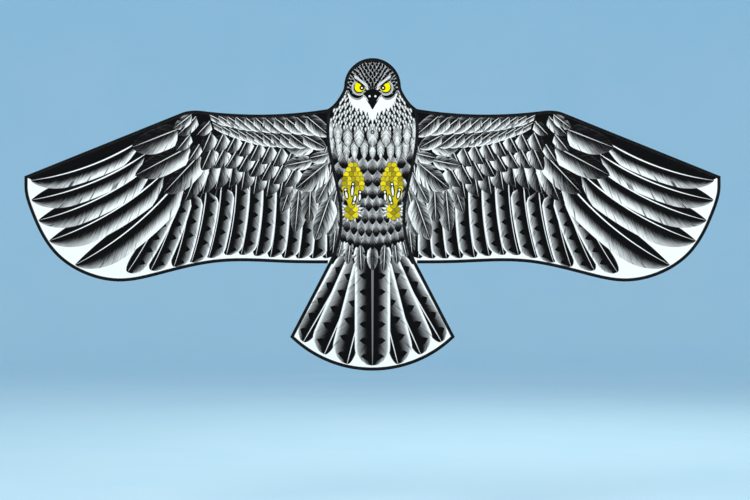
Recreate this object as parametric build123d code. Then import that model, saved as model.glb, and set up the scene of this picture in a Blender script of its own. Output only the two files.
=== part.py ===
"""Bird-shaped single-line kite with a take-down glass-fibre frame.

Frame: the sail lies in the XZ plane, +Z is towards the head, +X to the right as the person flying the
kite sees its printed front, and the front faces -Y. The origin is the centre of the upper bridle eyelet.
All sizes are in millimetres.
"""

import math
import os

from build123d import *

# ---------------------------------------------------------------- driving dimensions
# Cloth
SAIL_HALF = 0.3  # half the thickness of a sail panel
BINDING_WIDTH = 7.0
BINDING_HALF = 0.5  # half the thickness of the folded edge binding
RIBBON_STEP = 40.0  # spacing of the points that carry the binding's inner edge
CLOTH = 0.4  # wall of a sewn tunnel or pocket
FLANGE = 4.0  # width of a tunnel's sewn edge
PATCH = 0.6  # thickness of a reinforcing patch
POCKET_LENGTH = 32.0  # of the pockets at the spine's ends
LOOP_WIDTH = 14.0
SPINE_LOOP_Z = (88.0, -50.0, -205.0, -395.0)

# Head and body panel
CROWN_RADIUS = 61.0
CROWN_CENTRE_Z = 98.5
CROWN_END = 2.0  # angle above level at which the crown's arc ends
NECK = (67.5, 82.0)
SHOULDER = (97.0, 49.5)
BODY_SIDE = [(99.0, -17.0), (81.9, -105.0), (71.5, -194.0), (83.0, -254.0)]
TAIL_ROOT = (96.0, -284.5)
TAIL_CORNER = (177.5, -441.5)
TAIL_BOTTOM_Z = -514.0

# Wing panel
HOLLOW = (232.0, 38.0)  # lowest point of the hollow inner leading edge
WRIST_INNER = (366.0, 45.5)
WRIST_OUTER = (412.0, 41.2)
TIP_TOP = (750.0, -95.0)
TIP_BOTTOM = (750.0, -116.0)
TRAILING_EDGE = [
    (737.0, -170.0),
    (684.0, -263.0),
    (620.0, -306.0),
    (542.0, -322.0),
    (464.0, -308.5),
    (335.0, -281.0),
    (283.0, -278.5),
    (180.0, -282.0),
    (96.0, -283.0),
]
HIDDEN_X = 60.0  # the wing panel's inner end, behind the body panel
TRAILING_END = (HIDDEN_X, -283.0)

# Frame: the cross bar lies next to the sail and the spine crosses behind it
BAR_Z = 31.2
BAR_Y = 3.8
BAR_RADIUS = 2.0
BAR_END = 404.0
BAR_GAP = 2.0  # between the two halves, inside the ferrule
SPINE_Y = 9.0
SPINE_RADIUS = 2.0
SPINE_TOP = 146.0
SPINE_BOTTOM = -500.0
OUTER_RADIUS = 1.5
TAIL_SPAR_RADIUS = 1.5
FIT = 0.05  # radial clearance of a rod in a moulded socket
CAP_WALL = 0.9
CAP_BASE = 2.0  # thickness of an end cap's closed end
CAP_DEPTH = 11.0  # length of rod inside an end cap
MOULD_WALL = 1.6  # wall of the moulded fittings round the spine and the ferrule

# Cross bar: its ferrule, the cross fitting, the wrist elbow and the cloth channel
FERRULE_LENGTH = 60.0
FERRULE_RADIUS = 2.5
SADDLE_HALF = 12.0  # half the length of the cross fitting's tube on the ferrule
UPRIGHT_HALF = 13.0  # half the length of its tube on the spine
CROSS_BLOCK = 9.0  # side of the block that joins the two tubes
SAIL_CLEARANCE = 0.1  # between the sail and the flat front of the cross fitting
ELBOW_LEG = 28.0
ELBOW_RADIUS = 2.75
CHANNEL_START = 152.0
CHANNEL_END = 384.0

# Outer spar, measured along it from the wrist
SPAR_SOCKET = 9.0  # where the elbow's socket for the spar begins
OUTER_START = 9.5
SLEEVE_START = 44.0
SLEEVE_GAP = 0.5  # between the sleeve and the tip pocket
OUTER_END = 338.0
TIP_POCKET_LENGTH = 34.0

# Tail spars: parallel to the tail's sides, from a moulded V on the spine to a pocket in each corner
TAIL_APEX_Z = -128.0
TAIL_SPAR_START = 17.0  # below the apex
TAIL_SPAR_END_Z = -425.0
TAIL_SPAR_END_Y = 4.6
TAIL_SPAR_TILT = math.atan2(TAIL_CORNER[0] - TAIL_ROOT[0], TAIL_ROOT[1] - TAIL_CORNER[1])
CORNER_POCKET_LENGTH = 26.0
CORNER_SLACK = 0.5  # extra radius in the corner pocket, because the spar enters it at a slight angle
V_TUBE_ABOVE = 8.0  # from the apex to the top of the V fitting's tube
V_TUBE_BELOW = 26.0
V_SOCKET_WALL = 1.4
V_SOCKET_BEFORE = 12.0  # from the spar's end back into the fitting
V_SOCKET_DEPTH = 16.0  # along the spar
WEB_HALF_WIDTH = 9.0
WEB_TOP = 2.0  # above the apex
WEB_BOTTOM = 19.0  # below the apex
WEB_HALF = 1.5  # half the web's thickness
RING_LENGTH = 3.0
RING_WALL = 1.5
RING_GAP = 0.3  # between a stopper ring and the V fitting

# Hinges: the lines about which each wing and each wing tip bends back
WING_HINGE_X = 137.0  # at the level of the bar
WING_HINGE_TILT = 7.5
WRIST_X = 418.0
TIP_HINGE_TILT = 12.0
HINGE_GAP = 0.3  # each panel stops this far from the hinge line

# Bridle eyelets
EYELET_BORE = 2.0
EYELET_BARREL = 2.5
EYELET_FLANGE = 4.5
EYELET_FLANGE_THICKNESS = 0.5
LOWER_EYELET_Z = -265.0
PATCH_SIZE = 26.0

FAR = 900.0  # past the edge of everything
PAST = 1.0  # how far a cutting shape runs past what it cuts


# ---------------------------------------------------------------- helpers
def at(x, z, y=0.0):
    """A point given by its place in the sail and its depth behind it."""
    return Vector(x, y, z)


def slab(face, front, back):
    """A flat solid from a face drawn in XY, where the drawing's Y becomes Z."""
    solid = extrude(face, amount=back - front)
    return Pos(0, back, 0) * (Rot(90, 0, 0) * solid)


def mirrored(shape):
    return mirror(shape, about=Plane.YZ)


def rod(start, end, radius):
    axis = end - start
    return Solid.make_cylinder(radius, axis.length, Plane(origin=start, z_dir=axis))


def cap(tip, inward, radius):
    """A soft end cap, with the rod's end at tip and the cap's closed end past it."""
    inward = inward.normalized()
    outer = rod(tip - inward * CAP_BASE, tip + inward * CAP_DEPTH, radius + CAP_WALL)
    return outer - rod(tip, tip + inward * (CAP_DEPTH + PAST), radius + FIT)


def tunnel(start, end, radius, closed_end=False, depth=BINDING_HALF):
    """A cloth tunnel sewn on the back of the sail round a rod: two flat edges and an arch over the rod."""
    along = end - start
    level = start.Y - depth
    inner, outer = radius + CLOTH, radius + 2 * CLOTH
    arch = Pos(0, level / 2) * Rectangle(2 * outer, level) + Pos(0, level) * Circle(outer)
    edges = Pos(0, CLOTH / 2) * Rectangle(2 * (outer + FLANGE), CLOTH)
    cavity = Pos(0, level / 2) * Rectangle(2 * inner, level) + Pos(0, level) * Circle(inner)
    depth_axis = Vector(0, 1, 0)
    flat = Vector(along.X, 0, along.Z).normalized()
    place = Plane(origin=at(start.X, start.Z, depth), x_dir=depth_axis.cross(flat), z_dir=flat)
    length = Vector(along.X, 0, along.Z).length
    shell = place * extrude(arch + edges, amount=length)
    beyond = -CLOTH if closed_end else PAST
    hollow = place * (Pos(0, 0, -PAST) * extrude(cavity, amount=PAST + length + beyond))
    return shell - hollow


def hinge_x(z, x_at_bar, tilt):
    return x_at_bar + math.tan(math.radians(tilt)) * (z - BAR_Z)


def between(inner, outer):
    """The part of the sail plane between two lines, each an (x at the bar, tilt, shift) or a plain x."""
    corners = []
    for line, order in ((inner, (-FAR, FAR)), (outer, (FAR, -FAR))):
        for z in order:
            x = line if isinstance(line, float) else hinge_x(z, line[0], line[1]) + line[2]
            corners.append((x, z))
    return make_face(Polyline(*corners, close=True))


# ---------------------------------------------------------------- outlines, drawn for the right side
# Each outline runs clockwise as seen from the front, so its inside is always on the right hand.
def on_crown(angle):
    turn = math.radians(angle)
    return (CROWN_RADIUS * math.cos(turn), CROWN_CENTRE_Z + CROWN_RADIUS * math.sin(turn))


def tail_fan():
    """The tail's lower edge: an arc centred on the spine, from the corner to the middle."""
    half_chord, rise = TAIL_CORNER[0], TAIL_CORNER[1] - TAIL_BOTTOM_Z
    radius = (half_chord**2 + rise**2) / (2 * rise)
    turn = math.asin(half_chord / radius) / 2
    middle = (radius * math.sin(turn), TAIL_BOTTOM_Z + radius * (1 - math.cos(turn)))
    return ThreePointArc(TAIL_CORNER, middle, (0, TAIL_BOTTOM_Z))


def body_edges():
    """Edge of the head, body and tail panel, from the crown round to the middle of the tail."""
    crown = ThreePointArc(on_crown(90), on_crown(45), on_crown(CROWN_END))
    neck = Spline(crown @ 1, NECK, SHOULDER, tangents=[crown % 1, (0.8, -0.45)])
    side = Spline(SHOULDER, *BODY_SIDE, TAIL_ROOT, tangents=[(0.1, -1), (0.52, -1)])
    return [crown, neck, side, Line(TAIL_ROOT, TAIL_CORNER), tail_fan()]


def wing_edges():
    """Free edge of one wing panel, from the shoulder round its tip to the trailing end."""
    leading = ThreePointArc(SHOULDER, HOLLOW, WRIST_INNER)
    outer_edge = Line(WRIST_OUTER, TIP_TOP)
    wrist = Spline(WRIST_INNER, WRIST_OUTER, tangents=[leading % 1, outer_edge % 0])
    trailing = Spline(TIP_BOTTOM, *TRAILING_EDGE, TRAILING_END, tangents=[(0, -1), (-1, 0)])
    return [leading, wrist, outer_edge, Line(TIP_TOP, TIP_BOTTOM), trailing]


def ribbon(edge):
    """The strip of binding folded over one edge."""
    steps = max(2, round(edge.length / RIBBON_STEP))
    inner = []
    for i in range(steps + 1):
        inward = (edge % (i / steps)).rotate(Axis.Z, -90)
        inner.append(edge @ (i / steps) + inward * BINDING_WIDTH)
    inner_edge = Spline(*inner, tangents=[edge % 0, edge % 1])
    return make_face([edge, Line(edge @ 1, inner[-1]), inner_edge, Line(inner[0], edge @ 0)])


def both_halves(half):
    return half + mirror(half, about=Plane.YZ)


def body_faces():
    """The whole panel, and the bound strip along its edge."""
    edges = body_edges()
    half = make_face([*edges, Line(edges[-1] @ 1, edges[0] @ 0)])
    band = half & Sketch() + [ribbon(edge) for edge in edges]
    return both_halves(half), both_halves(band)


def wing_faces():
    """The whole panel, whose inner end is hidden by the body panel, and its bound strip."""
    edges = wing_edges()
    inner = Polyline(TRAILING_END, (HIDDEN_X, SHOULDER[1]), SHOULDER)
    panel = make_face([*edges, inner])
    band = panel & Sketch() + [ribbon(edge) for edge in edges]
    return panel, band


BODY, BODY_BAND = body_faces()
WING, WING_BAND = wing_faces()
WING_CLOTH = WING - WING_BAND - BODY
WING_BAND -= BODY

WING_HINGE = (WING_HINGE_X, WING_HINGE_TILT)
TIP_HINGE = (WRIST_X, TIP_HINGE_TILT)
ROOT_ZONE = between(0.0, (*WING_HINGE, -HINGE_GAP))
WING_ZONE = between((*WING_HINGE, HINGE_GAP), (*TIP_HINGE, -HINGE_GAP))
TIP_ZONE = between((*TIP_HINGE, HINGE_GAP), FAR)

OUTER_SLOPE = Vector(TIP_TOP[0] - WRIST_OUTER[0], 0, TIP_TOP[1] - WRIST_OUTER[1]).normalized()
WRIST = at(WRIST_X, BAR_Z, BAR_Y)


# ---------------------------------------------------------------- cloth
def body_sail():
    hole = Circle(EYELET_BARREL)
    return slab(BODY - BODY_BAND - hole - Pos(0, LOWER_EYELET_Z) * hole, -SAIL_HALF, SAIL_HALF)


def binding(band, zone):
    return slab(band & zone, -BINDING_HALF, BINDING_HALF)


def window(left, right, bottom, top):
    return Pos((left + right) / 2, (bottom + top) / 2) * Rectangle(right - left, top - bottom)


def head_binding():
    return binding(BODY_BAND, window(-FAR, FAR, SHOULDER[1], FAR))


def seam_tape():
    return binding(BODY_BAND, window(0, FAR, TAIL_CORNER[1], SHOULDER[1]))


def tail_binding():
    return binding(BODY_BAND, window(-FAR, FAR, -FAR, TAIL_CORNER[1]))


def bridle_patches():
    """Cloth squares, set point-up, behind each eyelet."""
    square = Rot(0, 0, 45) * Rectangle(PATCH_SIZE, PATCH_SIZE) - Circle(EYELET_BARREL)
    return [slab(Pos(0, z) * square, SAIL_HALF, SAIL_HALF + PATCH) for z in (0, LOWER_EYELET_Z)]


def eyelet(z):
    """A two-flange eyelet that clamps the sail and its patch."""
    back = SAIL_HALF + PATCH
    front = slab(Circle(EYELET_FLANGE), -SAIL_HALF - EYELET_FLANGE_THICKNESS, -SAIL_HALF)
    barrel = slab(Circle(EYELET_BARREL), -SAIL_HALF, back)
    rear = slab(Circle(EYELET_FLANGE), back, back + EYELET_FLANGE_THICKNESS)
    bore = slab(Circle(EYELET_BORE), -FAR, FAR)
    return Pos(0, 0, z) * (front + barrel + rear - bore)


# ---------------------------------------------------------------- spine and its holders
def spine_rod():
    return rod(at(0, SPINE_BOTTOM, SPINE_Y), at(0, SPINE_TOP, SPINE_Y), SPINE_RADIUS)


def spine_caps():
    up = Vector(0, 0, 1)
    top = cap(at(0, SPINE_TOP, SPINE_Y), up * -1, SPINE_RADIUS)
    bottom = cap(at(0, SPINE_BOTTOM, SPINE_Y), up, SPINE_RADIUS)
    return [top, bottom]


def end_pocket(tip, inward, radius, length):
    """A closed cloth pocket round a capped rod end."""
    inward = inward.normalized()
    mouth = tip + inward * (length - CAP_BASE)
    end = tip - inward * (CAP_BASE + 2 * CLOTH)
    return tunnel(mouth, end, radius + CAP_WALL, closed_end=True)


def head_pocket():
    return end_pocket(at(0, SPINE_TOP, SPINE_Y), Vector(0, 0, -1), SPINE_RADIUS, POCKET_LENGTH)


def tail_pocket():
    return end_pocket(at(0, SPINE_BOTTOM, SPINE_Y), Vector(0, 0, 1), SPINE_RADIUS, POCKET_LENGTH)


def spine_loops():
    """Cloth loops sewn to the back of the body panel."""
    half = LOOP_WIDTH / 2
    return [
        tunnel(at(0, z - half, SPINE_Y), at(0, z + half, SPINE_Y), SPINE_RADIUS, depth=SAIL_HALF)
        for z in SPINE_LOOP_Z
    ]


# ---------------------------------------------------------------- tail spars
def tail_spar_ends():
    slope = math.tan(TAIL_SPAR_TILT)
    first_z = TAIL_APEX_Z - TAIL_SPAR_START
    start = at(slope * TAIL_SPAR_START, first_z, SPINE_Y)
    end = at(slope * (TAIL_APEX_Z - TAIL_SPAR_END_Z), TAIL_SPAR_END_Z, TAIL_SPAR_END_Y)
    return start, end


def tail_spar():
    return rod(*tail_spar_ends(), TAIL_SPAR_RADIUS)


def tail_fitting():
    """Moulded V fitting: a tube on the spine and a socket for each tail spar."""
    start, end = tail_spar_ends()
    down = (end - start).normalized()
    foot = start + down * V_SOCKET_DEPTH
    socket = rod(start - down * V_SOCKET_BEFORE, foot, TAIL_SPAR_RADIUS + V_SOCKET_WALL)
    bore = rod(start - down * PAST / 2, foot + down * PAST, TAIL_SPAR_RADIUS + FIT)
    top, bottom = at(0, TAIL_APEX_Z + V_TUBE_ABOVE, SPINE_Y), at(0, TAIL_APEX_Z - V_TUBE_BELOW, SPINE_Y)
    body = rod(bottom, top, SPINE_RADIUS + MOULD_WALL) + socket + mirrored(socket)
    low = TAIL_APEX_Z - WEB_BOTTOM
    outline = Polyline((-WEB_HALF_WIDTH, low), (WEB_HALF_WIDTH, low), (0, TAIL_APEX_Z + WEB_TOP), close=True)
    web = slab(make_face(outline), SPINE_Y - WEB_HALF, SPINE_Y + WEB_HALF)
    hole = rod(at(0, -FAR, SPINE_Y), at(0, FAR, SPINE_Y), SPINE_RADIUS + FIT)
    return body + web - hole - bore - mirrored(bore)


def stopper_rings():
    """Rubber rings that keep the V fitting in its place on the spine."""
    above = TAIL_APEX_Z + V_TUBE_ABOVE + RING_GAP
    below = TAIL_APEX_Z - V_TUBE_BELOW - RING_GAP - RING_LENGTH
    hole = rod(at(0, -FAR, SPINE_Y), at(0, FAR, SPINE_Y), SPINE_RADIUS + FIT)
    return [
        rod(at(0, low, SPINE_Y), at(0, low + RING_LENGTH, SPINE_Y), SPINE_RADIUS + RING_WALL) - hole
        for low in (above, below)
    ]


def tail_cap():
    start, end = tail_spar_ends()
    return cap(end, start - end, TAIL_SPAR_RADIUS)


def tail_corner_pocket():
    start, end = tail_spar_ends()
    inward = Vector(start.X - end.X, 0, start.Z - end.Z)
    return end_pocket(end, inward, TAIL_SPAR_RADIUS + CORNER_SLACK, CORNER_POCKET_LENGTH)


# ---------------------------------------------------------------- cross bar
def centre_ferrule():
    """Metal tube that joins the two halves of the bar."""
    half = FERRULE_LENGTH / 2
    tube = rod(at(-half, BAR_Z, BAR_Y), at(half, BAR_Z, BAR_Y), FERRULE_RADIUS)
    return tube - rod(at(-FAR, BAR_Z, BAR_Y), at(FAR, BAR_Z, BAR_Y), BAR_RADIUS + FIT)


def cross_fitting():
    """Moulded cross that holds the spine against the ferrule."""
    low, high = BAR_Z - UPRIGHT_HALF, BAR_Z + UPRIGHT_HALF
    saddle = rod(at(-SADDLE_HALF, BAR_Z, BAR_Y), at(SADDLE_HALF, BAR_Z, BAR_Y), FERRULE_RADIUS + MOULD_WALL)
    upright = rod(at(0, low, SPINE_Y), at(0, high, SPINE_Y), SPINE_RADIUS + MOULD_WALL)
    block = Pos(0, (BAR_Y + SPINE_Y) / 2, BAR_Z) * Box(CROSS_BLOCK, SPINE_Y - BAR_Y, CROSS_BLOCK)
    front = slab(Pos(0, BAR_Z) * Rectangle(FERRULE_LENGTH, FERRULE_LENGTH), -FAR, SAIL_HALF + SAIL_CLEARANCE)
    spine_hole = rod(at(0, -FAR, SPINE_Y), at(0, FAR, SPINE_Y), SPINE_RADIUS + FIT)
    bar_hole = rod(at(-FAR, BAR_Z, BAR_Y), at(FAR, BAR_Z, BAR_Y), FERRULE_RADIUS + FIT)
    return saddle + upright + block - front - spine_hole - bar_hole


def half_bar():
    return rod(at(BAR_GAP / 2, BAR_Z, BAR_Y), at(BAR_END, BAR_Z, BAR_Y), BAR_RADIUS)


def wrist_elbow():
    """Soft vinyl elbow between the bar and the outer spar."""
    inner = at(WRIST_X - ELBOW_LEG, BAR_Z, BAR_Y)
    outer = WRIST + OUTER_SLOPE * ELBOW_LEG
    legs = rod(inner, WRIST, ELBOW_RADIUS) + rod(WRIST, outer, ELBOW_RADIUS)
    legs += Pos(*WRIST) * Sphere(ELBOW_RADIUS)
    bar_bore = rod(inner - Vector(PAST, 0, 0), at(BAR_END, BAR_Z, BAR_Y), BAR_RADIUS + FIT)
    spar_bore = rod(WRIST + OUTER_SLOPE * SPAR_SOCKET, outer + OUTER_SLOPE * PAST, OUTER_RADIUS + FIT)
    return legs - bar_bore - spar_bore


def bar_channel():
    return tunnel(at(CHANNEL_START, BAR_Z, BAR_Y), at(CHANNEL_END, BAR_Z, BAR_Y), BAR_RADIUS)


# ---------------------------------------------------------------- outer spar and its sleeve
def outer_spar():
    return rod(WRIST + OUTER_SLOPE * OUTER_START, WRIST + OUTER_SLOPE * OUTER_END, OUTER_RADIUS)


def outer_sleeve():
    end = OUTER_END - TIP_POCKET_LENGTH + CAP_BASE - SLEEVE_GAP
    return tunnel(WRIST + OUTER_SLOPE * SLEEVE_START, WRIST + OUTER_SLOPE * end, OUTER_RADIUS)


def tip_cap():
    return cap(WRIST + OUTER_SLOPE * OUTER_END, OUTER_SLOPE * -1, OUTER_RADIUS)


def tip_pocket():
    tip = WRIST + OUTER_SLOPE * OUTER_END
    return end_pocket(tip, OUTER_SLOPE * -1, OUTER_RADIUS, TIP_POCKET_LENGTH)


# ---------------------------------------------------------------- all the pieces
def pieces():
    found = {
        "body_sail": body_sail(),
        "head_binding": head_binding(),
        "tail_binding": tail_binding(),
        "bridle_patches": bridle_patches(),
        "upper_bridle_eyelet": eyelet(0),
        "lower_bridle_eyelet": eyelet(LOWER_EYELET_Z),
        "spine_rod": spine_rod(),
        "spine_caps": spine_caps(),
        "head_pocket": head_pocket(),
        "tail_pocket": tail_pocket(),
        "spine_loops": spine_loops(),
        "tail_fitting": tail_fitting(),
        "stopper_rings": stopper_rings(),
        "centre_ferrule": centre_ferrule(),
        "cross_fitting": cross_fitting(),
    }
    sided = {
        "seam_tape": seam_tape(),
        "wing_root_sail": slab(WING_CLOTH & ROOT_ZONE, -SAIL_HALF, SAIL_HALF),
        "wing_root_binding": binding(WING_BAND, ROOT_ZONE),
        "wing_sail": slab(WING_CLOTH & WING_ZONE, -SAIL_HALF, SAIL_HALF),
        "wing_binding": binding(WING_BAND, WING_ZONE),
        "tip_sail": slab(WING_CLOTH & TIP_ZONE, -SAIL_HALF, SAIL_HALF),
        "tip_binding": binding(WING_BAND, TIP_ZONE),
        "half_bar": half_bar(),
        "bar_channel": bar_channel(),
        "wrist_elbow": wrist_elbow(),
        "outer_spar": outer_spar(),
        "outer_sleeve": outer_sleeve(),
        "tip_cap": tip_cap(),
        "tip_pocket": tip_pocket(),
        "tail_spar": tail_spar(),
        "tail_cap": tail_cap(),
        "tail_corner_pocket": tail_corner_pocket(),
    }
    for name, shape in sided.items():
        found["right_" + name] = shape
        found["left_" + name] = mirrored(shape)
    return found


def as_solids(shape):
    if isinstance(shape, list):
        return [solid for one in shape for solid in as_solids(one)]
    return list(shape.solids())


os.makedirs("parts", exist_ok=True)
for node, shape in pieces().items():
    solids = as_solids(shape)
    export_step(solids[0] if len(solids) == 1 else Compound(children=solids), f"parts/{node}.step")
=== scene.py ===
import math

import bmesh
import bpy
import numpy as np
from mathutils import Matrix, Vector, geometry


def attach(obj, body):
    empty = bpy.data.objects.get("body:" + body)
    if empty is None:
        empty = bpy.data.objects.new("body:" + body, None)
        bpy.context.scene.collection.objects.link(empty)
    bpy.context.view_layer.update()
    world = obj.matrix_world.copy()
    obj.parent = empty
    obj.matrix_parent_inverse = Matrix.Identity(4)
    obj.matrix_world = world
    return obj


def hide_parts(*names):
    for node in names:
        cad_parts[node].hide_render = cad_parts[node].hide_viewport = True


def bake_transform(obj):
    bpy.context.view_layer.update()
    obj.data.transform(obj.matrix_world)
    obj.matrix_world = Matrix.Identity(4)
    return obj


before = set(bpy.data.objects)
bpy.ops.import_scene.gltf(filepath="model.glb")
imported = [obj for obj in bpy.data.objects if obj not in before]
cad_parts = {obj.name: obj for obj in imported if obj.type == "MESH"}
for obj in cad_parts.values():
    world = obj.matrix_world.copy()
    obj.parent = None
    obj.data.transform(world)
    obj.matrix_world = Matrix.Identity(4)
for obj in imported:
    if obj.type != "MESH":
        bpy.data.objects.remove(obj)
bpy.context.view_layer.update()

# ---------------------------------------------------------------- camera, light, floor
# A plain product view: the kite hangs upright in a round sweep of pale blue paper, square on to the camera,
# with two broad soft lights in front and one behind. Sizes are millimetres in the kite's own frame, or metres
# in materials and where a name ends in _m or _M. A place on the kite is (x, z), with z towards the head.
MM = 0.001
VIEW_WIDTH_M = 1.616
VIEW_CENTRE = (5.4, -254.0)
LENS, SENSOR_WIDTH = 100.0, 36.0
camera_data = bpy.data.cameras.new("camera")
camera_data.lens = LENS
camera_data.sensor_width = SENSOR_WIDTH
camera = bpy.data.objects.new("camera", camera_data)
bpy.context.scene.collection.objects.link(camera)
camera_distance_m = LENS / SENSOR_WIDTH * VIEW_WIDTH_M
camera.location = (VIEW_CENTRE[0] * MM, -camera_distance_m, VIEW_CENTRE[1] * MM)
camera.rotation_euler = (math.radians(90), 0, 0)
bpy.context.scene.camera = camera
bpy.context.scene.view_settings.view_transform = "Standard"
LAMP_COLOUR = (1.0, 0.84, 0.69)  # warm, to balance the blue that the paper throws back
WORLD_COLOUR, WORLD_STRENGTH = (1.0, 0.93, 0.87, 1), 0.74


def area_light(name, place_m, aim_m, size_m, power):
    """A round soft light of so many watts, turned towards aim_m."""
    data = bpy.data.lights.new(name, "AREA")
    data.shape, data.size, data.energy = "DISK", size_m, power
    data.color = LAMP_COLOUR
    light = bpy.data.objects.new(name, data)
    light.location = place_m
    light.rotation_euler = (Vector(aim_m) - Vector(place_m)).to_track_quat("-Z", "Y").to_euler()
    bpy.context.scene.collection.objects.link(light)


area_light("key_light", (-1.9, -2.8, 1.9), (0, 0, -0.1), 1.6, 76)
area_light("fill_light", (2.4, -2.6, 0.6), (0, 0, -0.2), 1.8, 47)
area_light("back_light", (0.8, 2.6, 2.0), (0, 0, -0.1), 1.6, 45)

world = bpy.data.worlds.new("studio")
bpy.context.scene.world = world
world.use_nodes = True
world.node_tree.nodes["Background"].inputs["Color"].default_value = WORLD_COLOUR
world.node_tree.nodes["Background"].inputs["Strength"].default_value = WORLD_STRENGTH

FLOOR_M = -0.86
BOWL_M, BEND_M, WALL_TOP_M = 9.0, 2.5, 6.0
SEGMENTS, BEND_STEPS = 72, 16
profile = [(BOWL_M - BEND_M, FLOOR_M)]
for step in range(1, BEND_STEPS + 1):
    turn = math.radians(90) * step / BEND_STEPS
    profile.append((BOWL_M - BEND_M * (1 - math.sin(turn)), FLOOR_M + BEND_M * (1 - math.cos(turn))))
profile.append((BOWL_M, WALL_TOP_M))
points = [(0.0, 0.0, FLOOR_M)]
for radius, height in profile:
    for step in range(SEGMENTS):
        turn = 2 * math.pi * step / SEGMENTS
        points.append((radius * math.cos(turn), radius * math.sin(turn), height))
faces = [(0, 1 + i, 1 + (i + 1) % SEGMENTS) for i in range(SEGMENTS)]
for ring in range(len(profile) - 1):
    low = 1 + ring * SEGMENTS
    for i in range(SEGMENTS):
        j = (i + 1) % SEGMENTS
        faces.append((low + j, low + i, low + SEGMENTS + i, low + SEGMENTS + j))
sweep_mesh = bpy.data.meshes.new("paper_sweep")
sweep_mesh.from_pydata(points, [], faces)
sweep_mesh.shade_smooth()
sweep = bpy.data.objects.new("paper_sweep", sweep_mesh)
bpy.context.scene.collection.objects.link(sweep)


class Nodes:
    """Short calls for building one material's node tree."""

    def __init__(self, name, roughness=0.6, specular=0.5):
        self.material = bpy.data.materials.new(name)
        self.material.use_nodes = True
        self.tree = self.material.node_tree
        self.shader = self.tree.nodes["Principled BSDF"]
        self.shader.inputs["Roughness"].default_value = roughness
        self.shader.inputs["Specular IOR Level"].default_value = specular

    def add(self, kind, **settings):
        node = self.tree.nodes.new("ShaderNode" + kind)
        for key, value in settings.items():
            setattr(node, key, value)
        return node

    def feed(self, socket, value):
        if isinstance(value, bpy.types.NodeSocket):
            self.tree.links.new(value, socket)
        elif value is not None:
            socket.default_value = value

    def math(self, operation, *values, clamp=False):
        node = self.add("Math", operation=operation, use_clamp=clamp)
        for socket, value in zip(node.inputs, values):
            self.feed(socket, value)
        return node.outputs[0]

    def ease(self, value, low, high, to_low=0.0, to_high=1.0):
        """Smooth change from to_low to to_high as value goes from low to high."""
        node = self.add("MapRange", interpolation_type="SMOOTHSTEP")
        for socket, number in zip(node.inputs, (value, low, high, to_low, to_high)):
            self.feed(socket, number)
        return node.outputs[0]

    def mix(self, amount, first, second):
        node = self.add("Mix", data_type="FLOAT")
        for socket, value in zip((node.inputs[0], node.inputs[2], node.inputs[3]), (amount, first, second)):
            self.feed(socket, value)
        return node.outputs[0]

    def colours(self, amount, first, second, blend="MIX"):
        node = self.add("Mix", data_type="RGBA", blend_type=blend)
        for socket, value in zip((node.inputs[0], node.inputs[6], node.inputs[7]), (amount, first, second)):
            self.feed(socket, value)
        return node.outputs[2]

    def attribute(self, name):
        return self.add("Attribute", attribute_name=name)

    def split(self, vector):
        node = self.add("SeparateXYZ")
        self.feed(node.inputs[0], vector)
        return node.outputs

    def join(self, x=0.0, y=0.0, z=0.0):
        node = self.add("CombineXYZ")
        for socket, value in zip(node.inputs, (x, y, z)):
            self.feed(socket, value)
        return node.outputs[0]

    def place(self):
        return self.add("TexCoord").outputs["Object"]

    def noise(self, vector, scale, detail=2.0, roughness=0.5):
        node = self.add("TexNoise")
        self.feed(node.inputs["Vector"], vector)
        node.inputs["Scale"].default_value = scale
        node.inputs["Detail"].default_value = detail
        node.inputs["Roughness"].default_value = roughness
        return node.outputs[0]

    def bump(self, height, strength, distance_m=0.0003):
        node = self.add("Bump")
        node.inputs["Strength"].default_value = strength
        node.inputs["Distance"].default_value = distance_m
        self.feed(node.inputs["Height"], height)
        self.feed(self.shader.inputs["Normal"], node.outputs[0])


def paper_material():
    nodes = Nodes("pale_paper", roughness=0.9)
    grain = nodes.noise(nodes.place(), 3.0)
    colour = nodes.colours(grain, (0.46, 0.77, 0.98, 1), (0.52, 0.8, 0.99, 1))
    nodes.feed(nodes.shader.inputs["Base Color"], colour)
    return nodes.material


sweep_mesh.materials.append(paper_material())

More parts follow.
